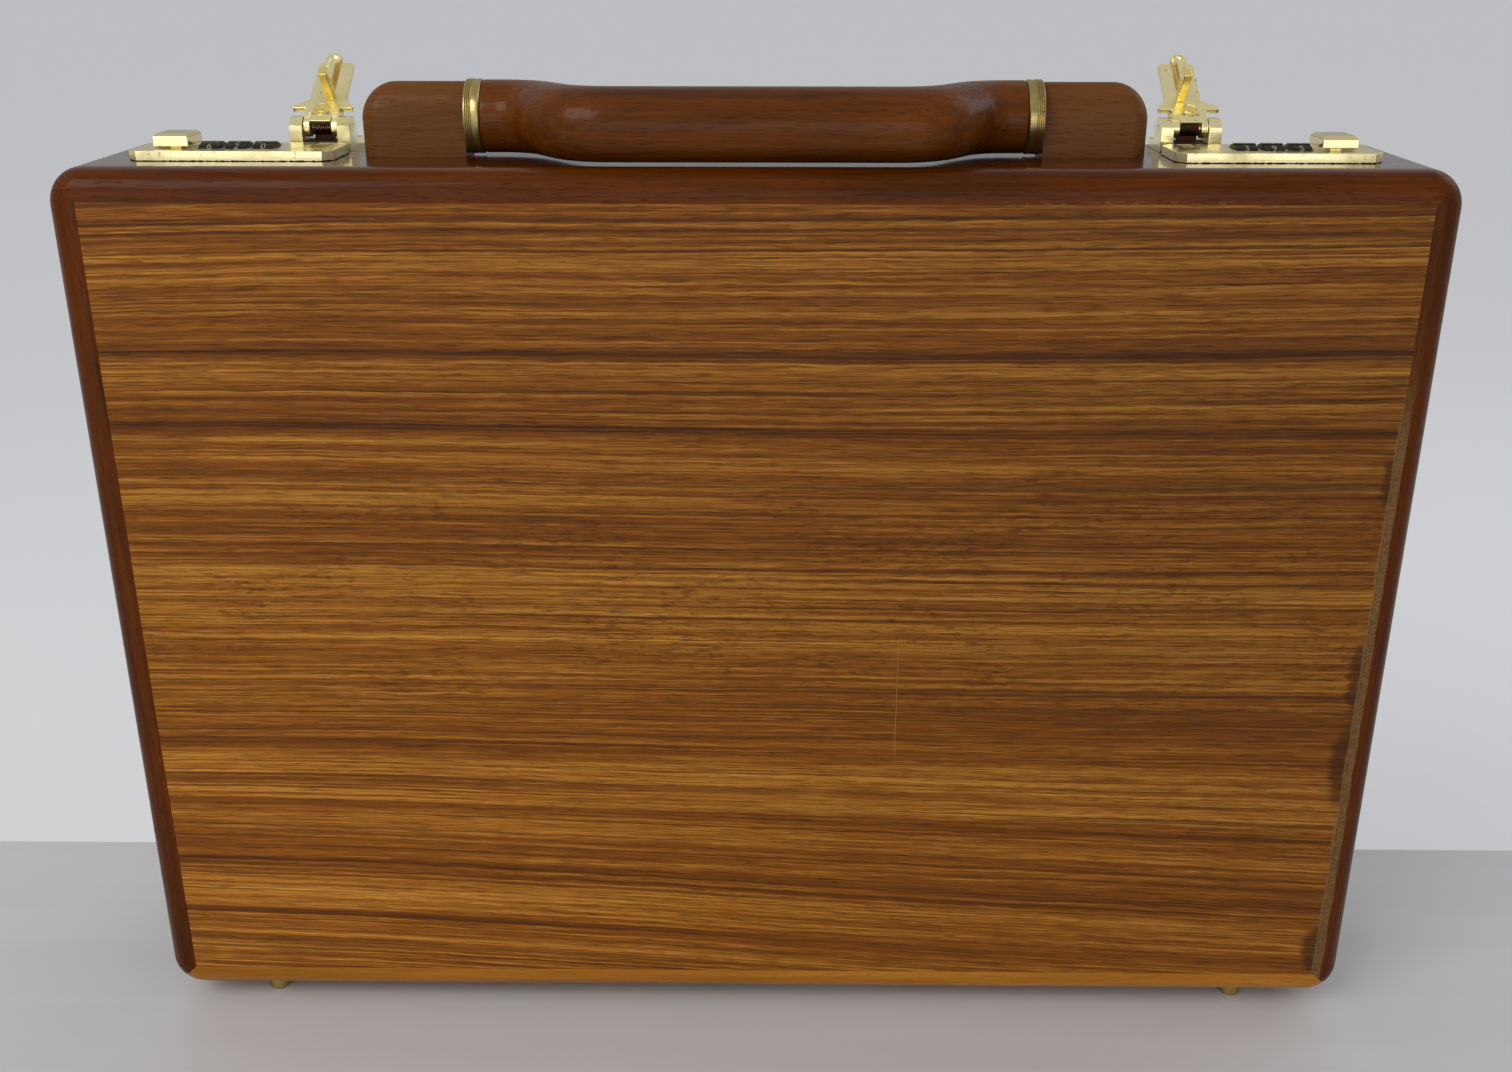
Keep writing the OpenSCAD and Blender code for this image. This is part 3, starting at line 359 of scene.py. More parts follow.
def veneer_finish(name, used):
    """Teak veneer, its growth lines along X. The used side has a worn edge, stains and a scratch."""
    c = colours()
    f = Finish(name, roughness=0.42, Specular_IOR_Level=0.15)
    x, y, z = f.split()
    slope = f.math("ADD", f.fade(z, 0.015, 0.15, -0.055, 0.0), f.fade(z, 0.20, 0.31, 0.0, 0.018))
    level = f.math("SUBTRACT", z, f.times(slope, x))
    for wave in WAVES:
        level = f.shifted(level, *wave)
    lines = f.join_xyz(x, y, level)
    hair = f.noise((5, 40, 1700), 2, lines)
    fine = f.noise((4, 30, 820), 1, lines, shift=3)
    middle = f.noise((1.6, 20, 330), 1, lines, shift=7)
    broad = f.noise((0.9, 10, 70), 1, lines, shift=11)
    fibre = f.noise((48, 90, 2200), 3, lines, shift=5, rough=0.7)
    stops = [(0.0, 0.0)]
    for height, half, dark in reversed(BANDS):
        for offset, share in ((-half, 0), (0, dark), (half * 0.8, 0)):
            stops.append(((height + offset) / BAND_SPAN, share))
    band = f.ramp(f.math("DIVIDE", level, BAND_SPAN), stops)
    tone = f.sum(
        (0.75, hair), (0.90, fibre), (0.50, fine), (0.38, middle), (0.42, broad), (-0.50, band), (1.0, -0.955)
    )
    wood = f.ramp(tone, [(0.05, c.veneer_dark), (0.95, c.veneer_light), (0.48, c.veneer_mid)])
    mottled = f.times(f.between(z, 0.150, 0.200, 0.03), f.fade(f.noise((26, 30, 60), 1), 0.42, 0.62))
    flecks = f.fade(f.noise((250, 300, 900), 1, lines), 0.50, 0.72)
    streak = f.fade(f.noise((1.1, 8, 560), 2, lines, shift=17), 0.56, 0.66)
    pores = f.fade(f.noise((110, 300, 2500), 1, lines), 0.57, 0.70)
    flecked = f.times(flecks, f.math("MULTIPLY_ADD", mottled, 0.40, 0.10))
    for share in (flecked, f.times(streak, 0.62), f.times(pores, 0.50)):
        wood = f.mix(share, wood, c.veneer_dark)
    # Painted light: the veneer is made lighter towards the left and the bottom, and darker towards the right
    # and the top, as the light falls.
    across = f.times(f.fade(x, -0.21, 0.22, 1.12, 0.86), f.fade(z, 0.03, 0.22, 1.17, 0.93))
    wood = f.mix(1.0, wood, f.join_xyz(across, across, across), "MULTIPLY")
    rough = f.sum((0.22, pores), (0.10, fine), (1.0, 0.27))
    relief = f.sum((-0.7, pores), (0.9, fibre))
    if used:
        edge = f.shifted(x, 0.0022, (60, 60, 60), 3)
        strip = f.times(f.fade(edge, WORN_X - 0.6 * MM, WORN_X), f.fade(z, 0.26, 0.22))
        ragged = f.join_xyz(f.shifted(x, 0.007, (30, 60, 520), 3), 0.0, z)
        stained = 0.0
        for height, half_high, half_wide in STAINS:
            blot = f.spot(ragged, (WORN_X, 0, height), (half_wide, 1, half_high))
            stained = f.math("MAXIMUM", stained, blot)
        wood = f.mix(f.times(stained, 0.78), wood, c.veneer_dark)
        wood = f.mix(f.times(strip, f.fade(f.noise(SPECK), 0.30, 0.70, 0.45, 0.9)), wood, c.worn)
        wander = f.sum((0.0006, f.noise((1, 1, 70), 1)), (1.0, x))
        scratch = f.times(f.between(wander, *SCRATCH_X, 0.12 * MM), f.between(z, *SCRATCH_Z, 6 * MM))
        wood = f.mix(f.times(scratch, 0.45), wood, c.veneer_light)
        rough = f.sum((0.3, strip), (1.0, rough))
        relief = f.sum((-0.8, scratch), (1.0, relief))
    return f.done(wood, relief, 0.12 * MM, rough)


def solid_wood(name, along, light, dark, gloss=0.05, coarse=1.0, worn=None, polished=None):
    """Solid wood with its grain along an axis, under thin lacquer. A worn piece has lost some of it,
    and a polished one keeps a shine on its flat top, at that height."""
    f = Finish(name, roughness=0.4, Specular_IOR_Level=0.08, Coat_Weight=gloss, Coat_Roughness=0.08)
    x, y, z = f.split()
    if polished:
        f.set(Coat_Weight=f.fade(z, polished - 1.5 * MM, polished - 0.1 * MM, gloss, 0.8))
    run, rise = (x, z) if along == "X" else (z, x)
    bend = f.math("SUBTRACT", f.noise((6, 6, 6), 2), 0.5)
    grain = f.join_xyz(run, f.sum((0.008, bend), (1.0, y)), f.sum((0.010, bend), (1.0, rise)))
    broad = f.noise((5, 150 * coarse, 150 * coarse), 3, grain)
    fine = f.noise((22, 900 * coarse, 900 * coarse), 3, grain)
    figure = f.noise((14, 34, 34), 2, grain)
    tone = f.sum((0.8, broad), (0.55, fine), (0.5, figure), (1.0, -0.43))
    wood = f.ramp(tone, [(0.12, dark), (0.88, light)])
    pores = f.fade(f.noise((190, 2100, 2100), 1, grain), 0.58, 0.70)
    wood = f.mix(f.times(pores, 0.5), wood, dark)
    rough = f.sum((0.20, pores), (0.16, fine), (1.0, 0.20))
    relief = f.sum((-0.6, pores), (0.3, fine))
    if worn:
        mask, share = worn(f, x, y, z)
        bare = f.times(mask, f.fade(f.noise(SPECK), 0.30, 0.70, 0.4 * share, share))
        wood = f.mix(bare, wood, colours().worn)
        rough = f.sum((0.25, bare), (1.0, rough))
        relief = f.sum((-0.7, bare), (1.0, relief))
    return f.done(wood, relief, 0.1 * MM, rough)


def near_face(f, y):
    """Mask of a rail's near face."""
    return f.fade(y, -36 * MM, -37.2 * MM)


def worn_side(f, x, y, z):
    """The right rail has lost its finish along the veneer, on the near face."""
    edge = f.shifted(x, 0.0024, (50, 50, 50), 3)
    strip = f.times(f.fade(edge, 0.2176, 0.2168), f.fade(z, 0.27, 0.22))
    return f.times(near_face(f, y), strip, f.fade(x, 0.20, 0.21)), 0.88


def nicked_top(f, x, y, z):
    """The top rail has a row of small nicks along the veneer, on the near face."""
    row = f.times(f.between(x, 0.085, 0.150, 0.02), f.between(z, 0.3082, 0.3094, 0.0005))
    nicks = f.fade(f.noise((260, 60, 500), 2), 0.54, 0.60)
    return f.times(near_face(f, y), row, nicks), 0.5


def brass_finish(name, base, shine=0.16, stain=0.5, foot=None):
    """Brass with fine scratches, finger marks and tarnish. A plate has a dark line along its foot, partly dirt
    and partly painted contact shade.
    """
    c = colours()
    f = Finish(name, roughness=shine, metallic=1.0)
    x, y, z = f.split()
    cloud = f.noise((55, 55, 55), 4)
    spots = f.noise((420, 420, 420), 3)
    lines = f.noise((60, 2600, 2600), 2)
    metal = f.mix(f.fade(cloud, 0.50, 0.78, 0.0, stain), base, c.tarnish)
    metal = f.mix(f.fade(spots, 0.64, 0.72, 0.0, stain), metal, c.tarnish)
    rough = f.sum((0.24, f.fade(cloud, 0.40, 0.75)), (0.10, lines), (1.0, shine))
    relief = f.sum((0.5, lines), (-0.6, f.fade(spots, 0.62, 0.72)), (0.3, f.noise((160, 160, 160), 2)))
    if foot:
        # Painted shade with some dirt: a dark, ragged line where the plate meets the rail.
        foot_shade_and_dirt = f.fade(f.shifted(z, 0.0009, (700, 700, 10), 3), foot + 0.35 * MM, foot + 0.20 * MM)
        metal = f.mix(foot_shade_and_dirt, metal, c.grime)
        rough = f.sum((0.4, foot_shade_and_dirt), (1.0, rough))
    return f.done(metal, relief, 0.03 * MM, rough)


def bracket_finish(name):
    """The brass of a bracket, with painted shade in the hollow between its lugs: dark brown and not metallic
    there.
    """
    f = brass_finish(name, colours().brass)
    x, y, z = f.split()
    low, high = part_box("hasp_bracket_left")
    middle, half = abs(low.x + high.x) / 2, (high.x - low.x) / 2
    away = f.math("ABSOLUTE", f.math("SUBTRACT", f.math("ABSOLUTE", x), middle))
    # Painted shade: the hollow between the lugs is made dark brown and not metallic, to stand for the shade
    # there.
    shaded_hollow = f.times(
        f.fade(away, half * 0.59, half * 0.56), f.fade(z, high.z - 4 * MM, high.z - 6 * MM),
        f.fade(y, low.y + 10.5 * MM, low.y + 9 * MM),
    )
    f.set(
        Base_Color=f.mix(shaded_hollow, f.given("Base Color"), colours().grime),
        Roughness=f.math("MULTIPLY_ADD", shaded_hollow, 0.5, f.given("Roughness")),
        Metallic=f.math("SUBTRACT", 1.0, shaded_hollow),
    )
    return f


def hasp_finish(name, side):
    """The brass of a hasp, with painted shade and a painted dark reflection down the flank of its groove that
    faces the middle of the case.
    """
    f = brass_finish(name, colours().brass, 0.24, 0.35)
    opened = opened_hasp(side)
    drawn = f.add("Mapping", f.place, opened.translation, opened.to_euler(), vector_type="TEXTURE").outputs[0]
    x, y, z = f.split(drawn)
    inward = f.math("MULTIPLY", x, 1.0 if side == "left" else -1.0)
    # Painted shade and reflection: the flank of the groove towards the middle of the case is darkened to a
    # golden brown.
    flank = f.times(
        f.fade(inward, 0.1 * MM, 0.6 * MM), f.fade(inward, 3.3 * MM, 3.0 * MM),
        f.fade(z, -2.65 * MM, -2.75 * MM), f.fade(y, -31 * MM, -28 * MM), f.fade(y, -13 * MM, -15 * MM),
        f.fade(f.noise((900, 120, 900), 2, drawn), 0.25, 0.6, 0.55, 1.0),
    )
    f.set(
        Base_Color=f.mix(flank, f.given("Base Color"), colours().flank),
        Roughness=f.math("MULTIPLY_ADD", flank, 0.2, f.given("Roughness")),
    )
    return f


def hasp_axis(side):
    """Middle of a hasp's axis."""
    (pin_low, pin_high), (low, high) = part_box("hasp_pins"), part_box(f"hasp_{side}")
    return Vector(((low.x + high.x) / 2, (pin_low.y + pin_high.y) / 2, (pin_low.z + pin_high.z) / 2))


def opened_hasp(side):
    """Place of an open hasp: its origin on the axis, its tongue along -Y and its underside along -Z."""
    return Matrix.Translation(hasp_axis(side)) @ Matrix.Rotation(-HASP_OPEN, 4, "X")


def steel_finish(name, base, rough=0.32):
    """Rolled steel with fine marks along X."""
    f = Finish(name, roughness=rough, metallic=1.0)
    marks = f.noise((90, 2400, 2400), 3)
    cloud = f.noise((70, 70, 70), 3)
    dulled = f.mix(f.fade(cloud, 0.35, 0.75, 0.0, 0.45), base, colours().dial)
    return f.done(dulled, marks, 0.03 * MM, f.sum((0.25, marks), (0.15, cloud), (1.0, rough - 0.15)))


def dial_finish(name):
    """Blackened wheel, rubbed bright in small patches by fingers."""
    f = Finish(name, roughness=0.35, metallic=0.6)
    rubbed = f.fade(f.noise((700, 700, 700), 3), 0.48, 0.70, 0.0, 0.5)
    shade = f.mix(rubbed, colours().dial, colours().tarnish)
    return f.done(shade, f.noise((1500, 1500, 1500), 2), 0.03 * MM, f.fade(rubbed, 0.0, 0.5, 0.42, 0.26))


def digit_finish(name):
    """Enamel pressed into the digits, a little worn."""
    f = Finish(name, roughness=0.55)
    worn = f.fade(f.noise((2500, 2500, 2500), 2), 0.5, 0.7, 0, 0.5)
    return f.done(f.mix(worn, colours().digit, colours().dial), f.noise((3000, 3000, 3000), 2), 0.02 * MM)


def cloth_finish(name):
    """Woven lining glued to the boards."""
    c = colours()
    thread = 1.1 * MM
    f = Finish(name, roughness=0.9, Sheen_Weight=0.25, Sheen_Roughness=0.5)
    x, y, z = (f.math("SINE", f.times(along, 2 * math.pi / thread)) for along in f.split())
    weave = f.times(f.math("ADD", x, y), z)
    slub = f.noise((90, 90, 1400), 2)
    share = f.sum((0.16, weave), (0.5, slub), (1.0, 0.25))
    shade = f.mix(share, f.mix(0.5, c.cloth, c.veneer_dark), c.cloth)
    return f.done(shade, f.sum((0.5, weave), (0.4, slub)), 0.2 * MM)


def ply_finish(name):
    """Plywood, its layers light and dark through the thickness."""
    c = colours()
    pair = 2.1 * MM
    f = Finish(name, roughness=0.7)
    layers = f.fade(f.math("SINE", f.times(f.split()[1], 2 * math.pi / pair)), -0.3, 0.3)
    grain = f.noise((8, 200, 500), 3)
    wood = f.mix(f.times(layers, 0.35), f.mix(grain, c.veneer_light, c.digit), c.veneer_mid)
    return f.done(wood, grain, 0.1 * MM)


def material(name):
    """A finish's material by name, made once."""
    if name in bpy.data.materials:
        return bpy.data.materials[name]
    c = colours()
    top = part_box("base_top_rail")[1].z
    make, *values = {
        "teak_near": (veneer_finish, True),
        "teak_far": (veneer_finish, False),
        "rail_level": (solid_wood, "X", c.frame_light, c.frame_dark, 0.05, 1.0, nicked_top, top),
        "rail_upright": (solid_wood, "Z", c.frame_light, c.frame_dark, 0.05, 1.0, worn_side),
        "rail_golden": (solid_wood, "X", c.sill_light, c.sill_dark),
        "grip_wood": (solid_wood, "X", c.grip_light, c.grip_dark, 0.12, 0.7),
        "block_wood": (solid_wood, "X", c.block_light, c.block_dark, 0.03, 0.8),
        "brass": (brass_finish, c.brass),
        "bracket_brass": (bracket_finish,),
        "hook_brass": (brass_finish, c.hook_brass, 0.2),
        "ferrule_brass": (brass_finish, c.ferrule, 0.22, 0.4),
        "hasp_brass_left": (hasp_finish, "left"),
        "hasp_brass_right": (hasp_finish, "right"),
        "plate_brass": (brass_finish, c.brass, 0.16, 0.5, top),
        "aged_brass": (brass_finish, c.aged_brass, 0.26, 0.4),
        "steel": (steel_finish, c.steel),
        "spring_steel": (steel_finish, c.spring, 0.4),
        "dial_black": (dial_finish,),
        "digit_paint": (digit_finish,),
        "lining_cloth": (cloth_finish,),
        "plywood": (ply_finish,),
    }[name]
    return make(name, *values).material


def merged(node):
    """Copy of a node's mesh, its triangles merged and its flat faces whole again."""
    bm = bmesh.new()
    bm.from_mesh(NODES[node].data)
    bmesh.ops.remove_doubles(bm, verts=bm.verts, dist=MERGE)
    bmesh.ops.dissolve_limit(bm, angle_limit=FLAT, verts=bm.verts, edges=bm.edges)
    return bm


def rounded(bm, edges, width, segments):
    """Rounds those edges."""
    bmesh.ops.bevel(
        bm, geom=edges, offset=width, offset_type="OFFSET", segments=segments, profile=0.5,
        affect="EDGES", clamp_overlap=True, material=-1,
    )


def break_edges(bm, width, segments=2):
    """Rounds the sharp outer edges."""
    inner = [e for e in bm.edges if len(e.link_faces) == 2]
    rounded(bm, [e for e in inner if e.is_convex and e.calc_face_angle(0) > SHARP], width, segments)


def to_mesh(bm, name):
    """A finished mesh as data."""
    mesh = bpy.data.meshes.new(name)
    bm.to_mesh(mesh)
    bm.free()
    return mesh


def to_object(name, data):
    """Object in the scene that shows that data."""
    made = bpy.data.objects.new(name, data)
    bpy.context.scene.collection.objects.link(made)
    return made


def add_to(bm, other):
    """Adds the second mesh to the first."""
    mesh = to_mesh(other, "part")
    bm.from_mesh(mesh)
    bpy.data.meshes.remove(mesh)


def place_piece(bm, name, finish, slot, body, *nodes):
    """Turns a mesh into a piece that rides on its body and stands for its nodes."""
    mesh = to_mesh(bm, name)
    mesh.shade_smooth()
    mesh.set_sharp_from_angle(angle=SHARP)
    mesh.materials.append(material(finish))
    piece = to_object(name, mesh)
    piece.modifiers.new("Weighted normals", "WEIGHTED_NORMAL").keep_sharp = True
    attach(piece, body)
    if nodes:
        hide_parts(*nodes)


def body_of(node):
    """The body that a node is part of."""
    return NODES[node]["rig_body"]


def finish_node(node, finish, slot, width, segments=2):
    """A node's own shape with its edges broken."""
    bm = merged(node)
    break_edges(bm, width, segments)
    place_piece(bm, f"{node}_finished", finish, slot, body_of(node), node)


def box_mesh(low, high, width, segments=2):
    """Block between two corners, its edges broken."""
    bm = bmesh.new()
    low, high = Vector(low), Vector(high)
    bmesh.ops.create_cube(bm, size=1.0, matrix=Matrix.LocRotScale((low + high) / 2, None, high - low))
    break_edges(bm, width, segments)
    return bm


def moved(bm, change, verts=None):
    """Moves corners, or else all of them, by a vector or a matrix."""
    matrix = change if isinstance(change, Matrix) else Matrix.Translation(change)
    bmesh.ops.transform(bm, matrix=matrix, verts=verts or bm.verts)


def of_kind(geometry, kind):
    """Those of some corners, edges and faces that are of that kind."""
    return [g for g in geometry if isinstance(g, kind)]


def extruded(bm, edges):
    """Draws open edges out; gives the new corners and the new open edges."""
    new = bmesh.ops.extrude_edge_only(bm, edges=edges)["geom"]
    return of_kind(new, bmesh.types.BMVert), [e for e in of_kind(new, bmesh.types.BMEdge) if e.is_boundary]


def closed(bm):
    """Fills what is open and turns the faces outward."""
    bmesh.ops.holes_fill(bm, edges=[e for e in bm.edges if e.is_boundary], sides=0)
    bmesh.ops.recalc_face_normals(bm, faces=bm.faces)


def lofted(rings):
    """Closed solid through rings that have the same number of points."""
    bm = bmesh.new()
    made = []
    for ring in rings:
        verts = [bm.verts.new(point) for point in ring]
        made.append((verts, [bm.edges.new(pair) for pair in zip(verts, verts[1:] + verts[:1])]))
    for (_, edges), (_, following) in zip(made, made[1:]):
        bmesh.ops.bridge_loops(bm, edges=edges + following)
    for verts, _ in (made[0], made[-1]):
        bm.faces.new(verts)
    bmesh.ops.recalc_face_normals(bm, faces=bm.faces)
    return bm


def carved(bm, cutter):
    """The first mesh less the second."""
    bodies = [to_object("carving", to_mesh(part, "carving")) for part in (bm, cutter)]
    cut = bodies[0].modifiers.new("Cut", "BOOLEAN")
    cut.operation, cut.solver, cut.object = "DIFFERENCE", "EXACT", bodies[1]
    result = bmesh.new()
    result.from_object(bodies[0], bpy.context.evaluated_depsgraph_get())
    for body in bodies:
        mesh = body.data
        bpy.data.objects.remove(body)
        bpy.data.meshes.remove(mesh)
    return result


def turned(profile, steps):
    """Profile of (along, radius) points, turned round the X axis."""
    bm = bmesh.new()
    verts = [bm.verts.new((along, 0, radius)) for along, radius in profile]
    edges = [bm.edges.new(pair) for pair in zip(verts, verts[1:])]
    bmesh.ops.spin(
        bm, geom=verts + edges, cent=(0, 0, 0), axis=(1, 0, 0), angle=2 * math.pi, steps=steps, use_merge=True
    )
    bmesh.ops.remove_doubles(bm, verts=bm.verts, dist=MERGE)
    bmesh.ops.recalc_face_normals(bm, faces=bm.faces)
    return bm


def mirrored(bm):
    """The same mesh for the other side of the case."""
    moved(bm, Matrix.Diagonal((-1, 1, 1, 1)))
    bmesh.ops.recalc_face_normals(bm, faces=bm.faces)
    return bm


def slotted_screw(place, head, length, slot=0.45 * MM):
    """Countersunk screw with a slot, its head at the origin of its place and its point along -Z."""
    bm = bmesh.new()
    bmesh.ops.create_circle(bm, cap_ends=True, segments=24, radius=head)
    for y in (-slot / 2, slot / 2):
        whole = bm.verts[:] + bm.edges[:] + bm.faces[:]
        bmesh.ops.bisect_plane(bm, geom=whole, plane_co=(0, y, 0), plane_no=(0, 1, 0))
    rim = [e for e in bm.edges if e.is_boundary]
    middle = [f for f in bm.faces if abs(f.calc_center_median().y) < slot / 4]
    sunk = bmesh.ops.extrude_discrete_faces(bm, faces=middle)["faces"]
    moved(bm, (0, 0, -0.35 * head), list({v for f in sunk for v in f.verts}))
    # Rings down the screw: how deep they lie, and how far each draws in from the last
    for depth, scale in ((0.12 * head, 1.0), (0.5 * head, 0.55), (length, 0.9)):
        verts, rim = extruded(bm, rim)
        moved(bm, (0, 0, -depth - verts[0].co.z), verts)
        moved(bm, Matrix.Diagonal((scale, scale, 1, 1)), verts)
    bmesh.ops.holes_fill(bm, edges=rim, sides=0)
    moved(bm, place)
    return bm


def looking(point, direction, turn):
    """Place whose Z axis points along a direction, turned about it."""
    aim = Vector(direction).to_track_quat("Z", "Y").to_matrix().to_4x4()
    return Matrix.Translation(point) @ aim @ Matrix.Rotation(turn, 4, "Z")


def screw_heads(node, direction):
    """Middle of each screw's head, its head radius and its length, read from the node's own mesh."""
    bm = merged(node)
    found, left, toward = [], dict.fromkeys(bm.verts), Vector(direction)
    while left:
        stack, points = [left.popitem()[0]], []
        while stack:
            v = stack.pop()
            points.append(v.co.copy())
            near = [other for other in (e.other_vert(v) for e in v.link_edges) if other in left]
            stack += near
            for other in near:
                del left[other]
        top, bottom = (pick(p.dot(toward) for p in points) for pick in (max, min))
        head = [p for p in points if p.dot(toward) > top - 0.01 * MM]
        middle = sum(head, Vector()) / len(head)
        found.append((middle, max((p - middle).length for p in head), top - bottom))
    bm.free()
    return sorted(found, key=lambda screw: [round(c, 6) for c in screw[0]])


def screws(node, direction, finish, slot):
    """Slotted screws in place of the plain ones, each turned a little further than the last."""
    bm = bmesh.new()
    for i, (point, head, length) in enumerate(screw_heads(node, direction)):
        add_to(bm, slotted_screw(looking(point, direction, 0.9 * i), head, length))
    place_piece(bm, f"{node}_slotted", finish, slot, body_of(node), node)


class CASE_OT_rails(bpy.types.Operator):
    """Eight mitred rails with sanded edges, the bottom ones golden and the others dark"""

    bl_idname = "case.rails"
    bl_label = "Rails"

    def execute(self, context):
        finishes = {"top": "level", "bottom": "golden", "left": "upright", "right": "upright"}
        for half in HALVES:
            for rail, finish in finishes.items():
                finish_node(f"{half}_{rail}_rail", f"rail_{finish}", "frame_wood", sizes().rail_edge)
        return {"FINISHED"}


class CASE_OT_panels(bpy.types.Operator):
    """Veneered plywood panels, their edges eased against the frame"""

    bl_idname = "case.panels"
    bl_label = "Panels"

    def execute(self, context):
        for half, finish in zip(HALVES, ("teak_near", "teak_far")):
            bm = box_mesh(*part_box(f"{half}_veneer"), 0.2 * MM)
            place_piece(bm, f"{half}_veneer_sheet", finish, "veneer", half, f"{half}_veneer")
            bm = box_mesh(*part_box(f"{half}_panel"), 0.1 * MM, 1)
            place_piece(bm, f"{half}_plywood", "plywood", "plywood", half, f"{half}_panel")
        return {"FINISHED"}


class CASE_OT_linings(bpy.types.Operator):
    """Cloth-covered trays that line the two halves"""

    bl_idname = "case.linings"
    bl_label = "Linings"

    def execute(self, context):
        for half in HALVES:
            finish_node(f"{half}_lining", "lining_cloth", "lining", 0.3 * MM)
        return {"FINISHED"}


class CASE_OT_feet(bpy.types.Operator):
    """Turned brass feet"""

    bl_idname = "case.feet"
    bl_label = "Feet"

    def execute(self, context):
        for half in HALVES:
            finish_node(f"{half}_feet", "aged_brass", "brass", 0.4 * MM, 3)
        return {"FINISHED"}


class CASE_OT_hinge(bpy.types.Operator):
    """Piano hinge: two leaves with their knuckles, the pin, and slotted screws"""

    bl_idname = "case.hinge"
    bl_label = "Hinge"

    def execute(self, context):
        for half, way in zip(HALVES, (1, -1)):
            finish_node(f"hinge_leaf_{half}", "aged_brass", "brass", 0.12 * MM, 1)
            screws(f"hinge_screws_{half}", (0, way, 0), "aged_brass", "brass")
        finish_node("hinge_pin", "steel", "steel", 0.3 * MM)
        return {"FINISHED"}


class CASE_OT_blocks(bpy.types.Operator):
    """Handle blocks, rounded like pebbles at their outer ends, with their screws"""

    bl_idname = "case.blocks"
    bl_label = "Handle blocks"

    steps: count("Steps", "Steps round a block's outer corner", 14, 3, 24)
    shoulder: length("Shoulder", "Height at which a block's sides turn into its rounded top", 12, 6, 18)

    def arch(self, half, height):
        """Outline of a block across its length: upright sides under a half-round top."""
        side = [(half, self.shoulder * i / 4) for i in range(4)]
        turns = [math.pi * i / 24 for i in range(25)]
        top = [(half * math.cos(a), self.shoulder + (height - self.shoulder) * math.sin(a)) for a in turns]
        return side + top + [(-y, z) for y, z in reversed(side)]

    def lost(self, left, radius):
        """How far a rounding of that radius lies inside the corner, at that distance from its end."""
        return radius - math.sqrt(max(radius ** 2 - (radius - left) ** 2, 0.0)) if left < radius else 0.0

    def block(self, node):
        """A block on the right side of the case, its outer end rounded two ways."""
        low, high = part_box(node)
        s = sizes()
        span, half, height = high.x - low.x, (high.y - low.y) / 2, high.z - low.z
        reach = max(s.block_round, s.block_top)
        turns = [math.pi / 2 * i / self.steps for i in range(self.steps + 1)]
        stations = [0.0, (span - reach) / 2] + [span - reach + reach * math.sin(a) for a in turns]
        rings = []
        for along in stations:
            left = span - along
            wide, tall = half - self.lost(left, s.block_round), height - self.lost(left, s.block_top)
            rings.append([(along, y, z) for y, z in self.arch(wide, tall)])
        bm = lofted(rings)
        at_end = [e for e in bm.edges if all(v.co.x < MERGE for v in e.verts)]
        at_foot = [e for e in bm.edges if all(v.co.z < MERGE for v in e.verts) and e not in at_end]
        rounded(bm, at_end + at_foot, 0.5 * MM, 2)
        inside = min(abs(low.x), abs(high.x))
        moved(bm, (inside, (low.y + high.y) / 2, low.z))
        return bm

    def execute(self, context):
        for side in SIDES:
            node = f"handle_block_{side}"
            bm = self.block(node)
            if side == "left":
                mirrored(bm)
            place_piece(bm, f"{node}_shaped", "block_wood", "handle_wood", "base", node)
        screws("handle_screws", (0, 0, -1), "aged_brass", "brass")
        return {"FINISHED"}


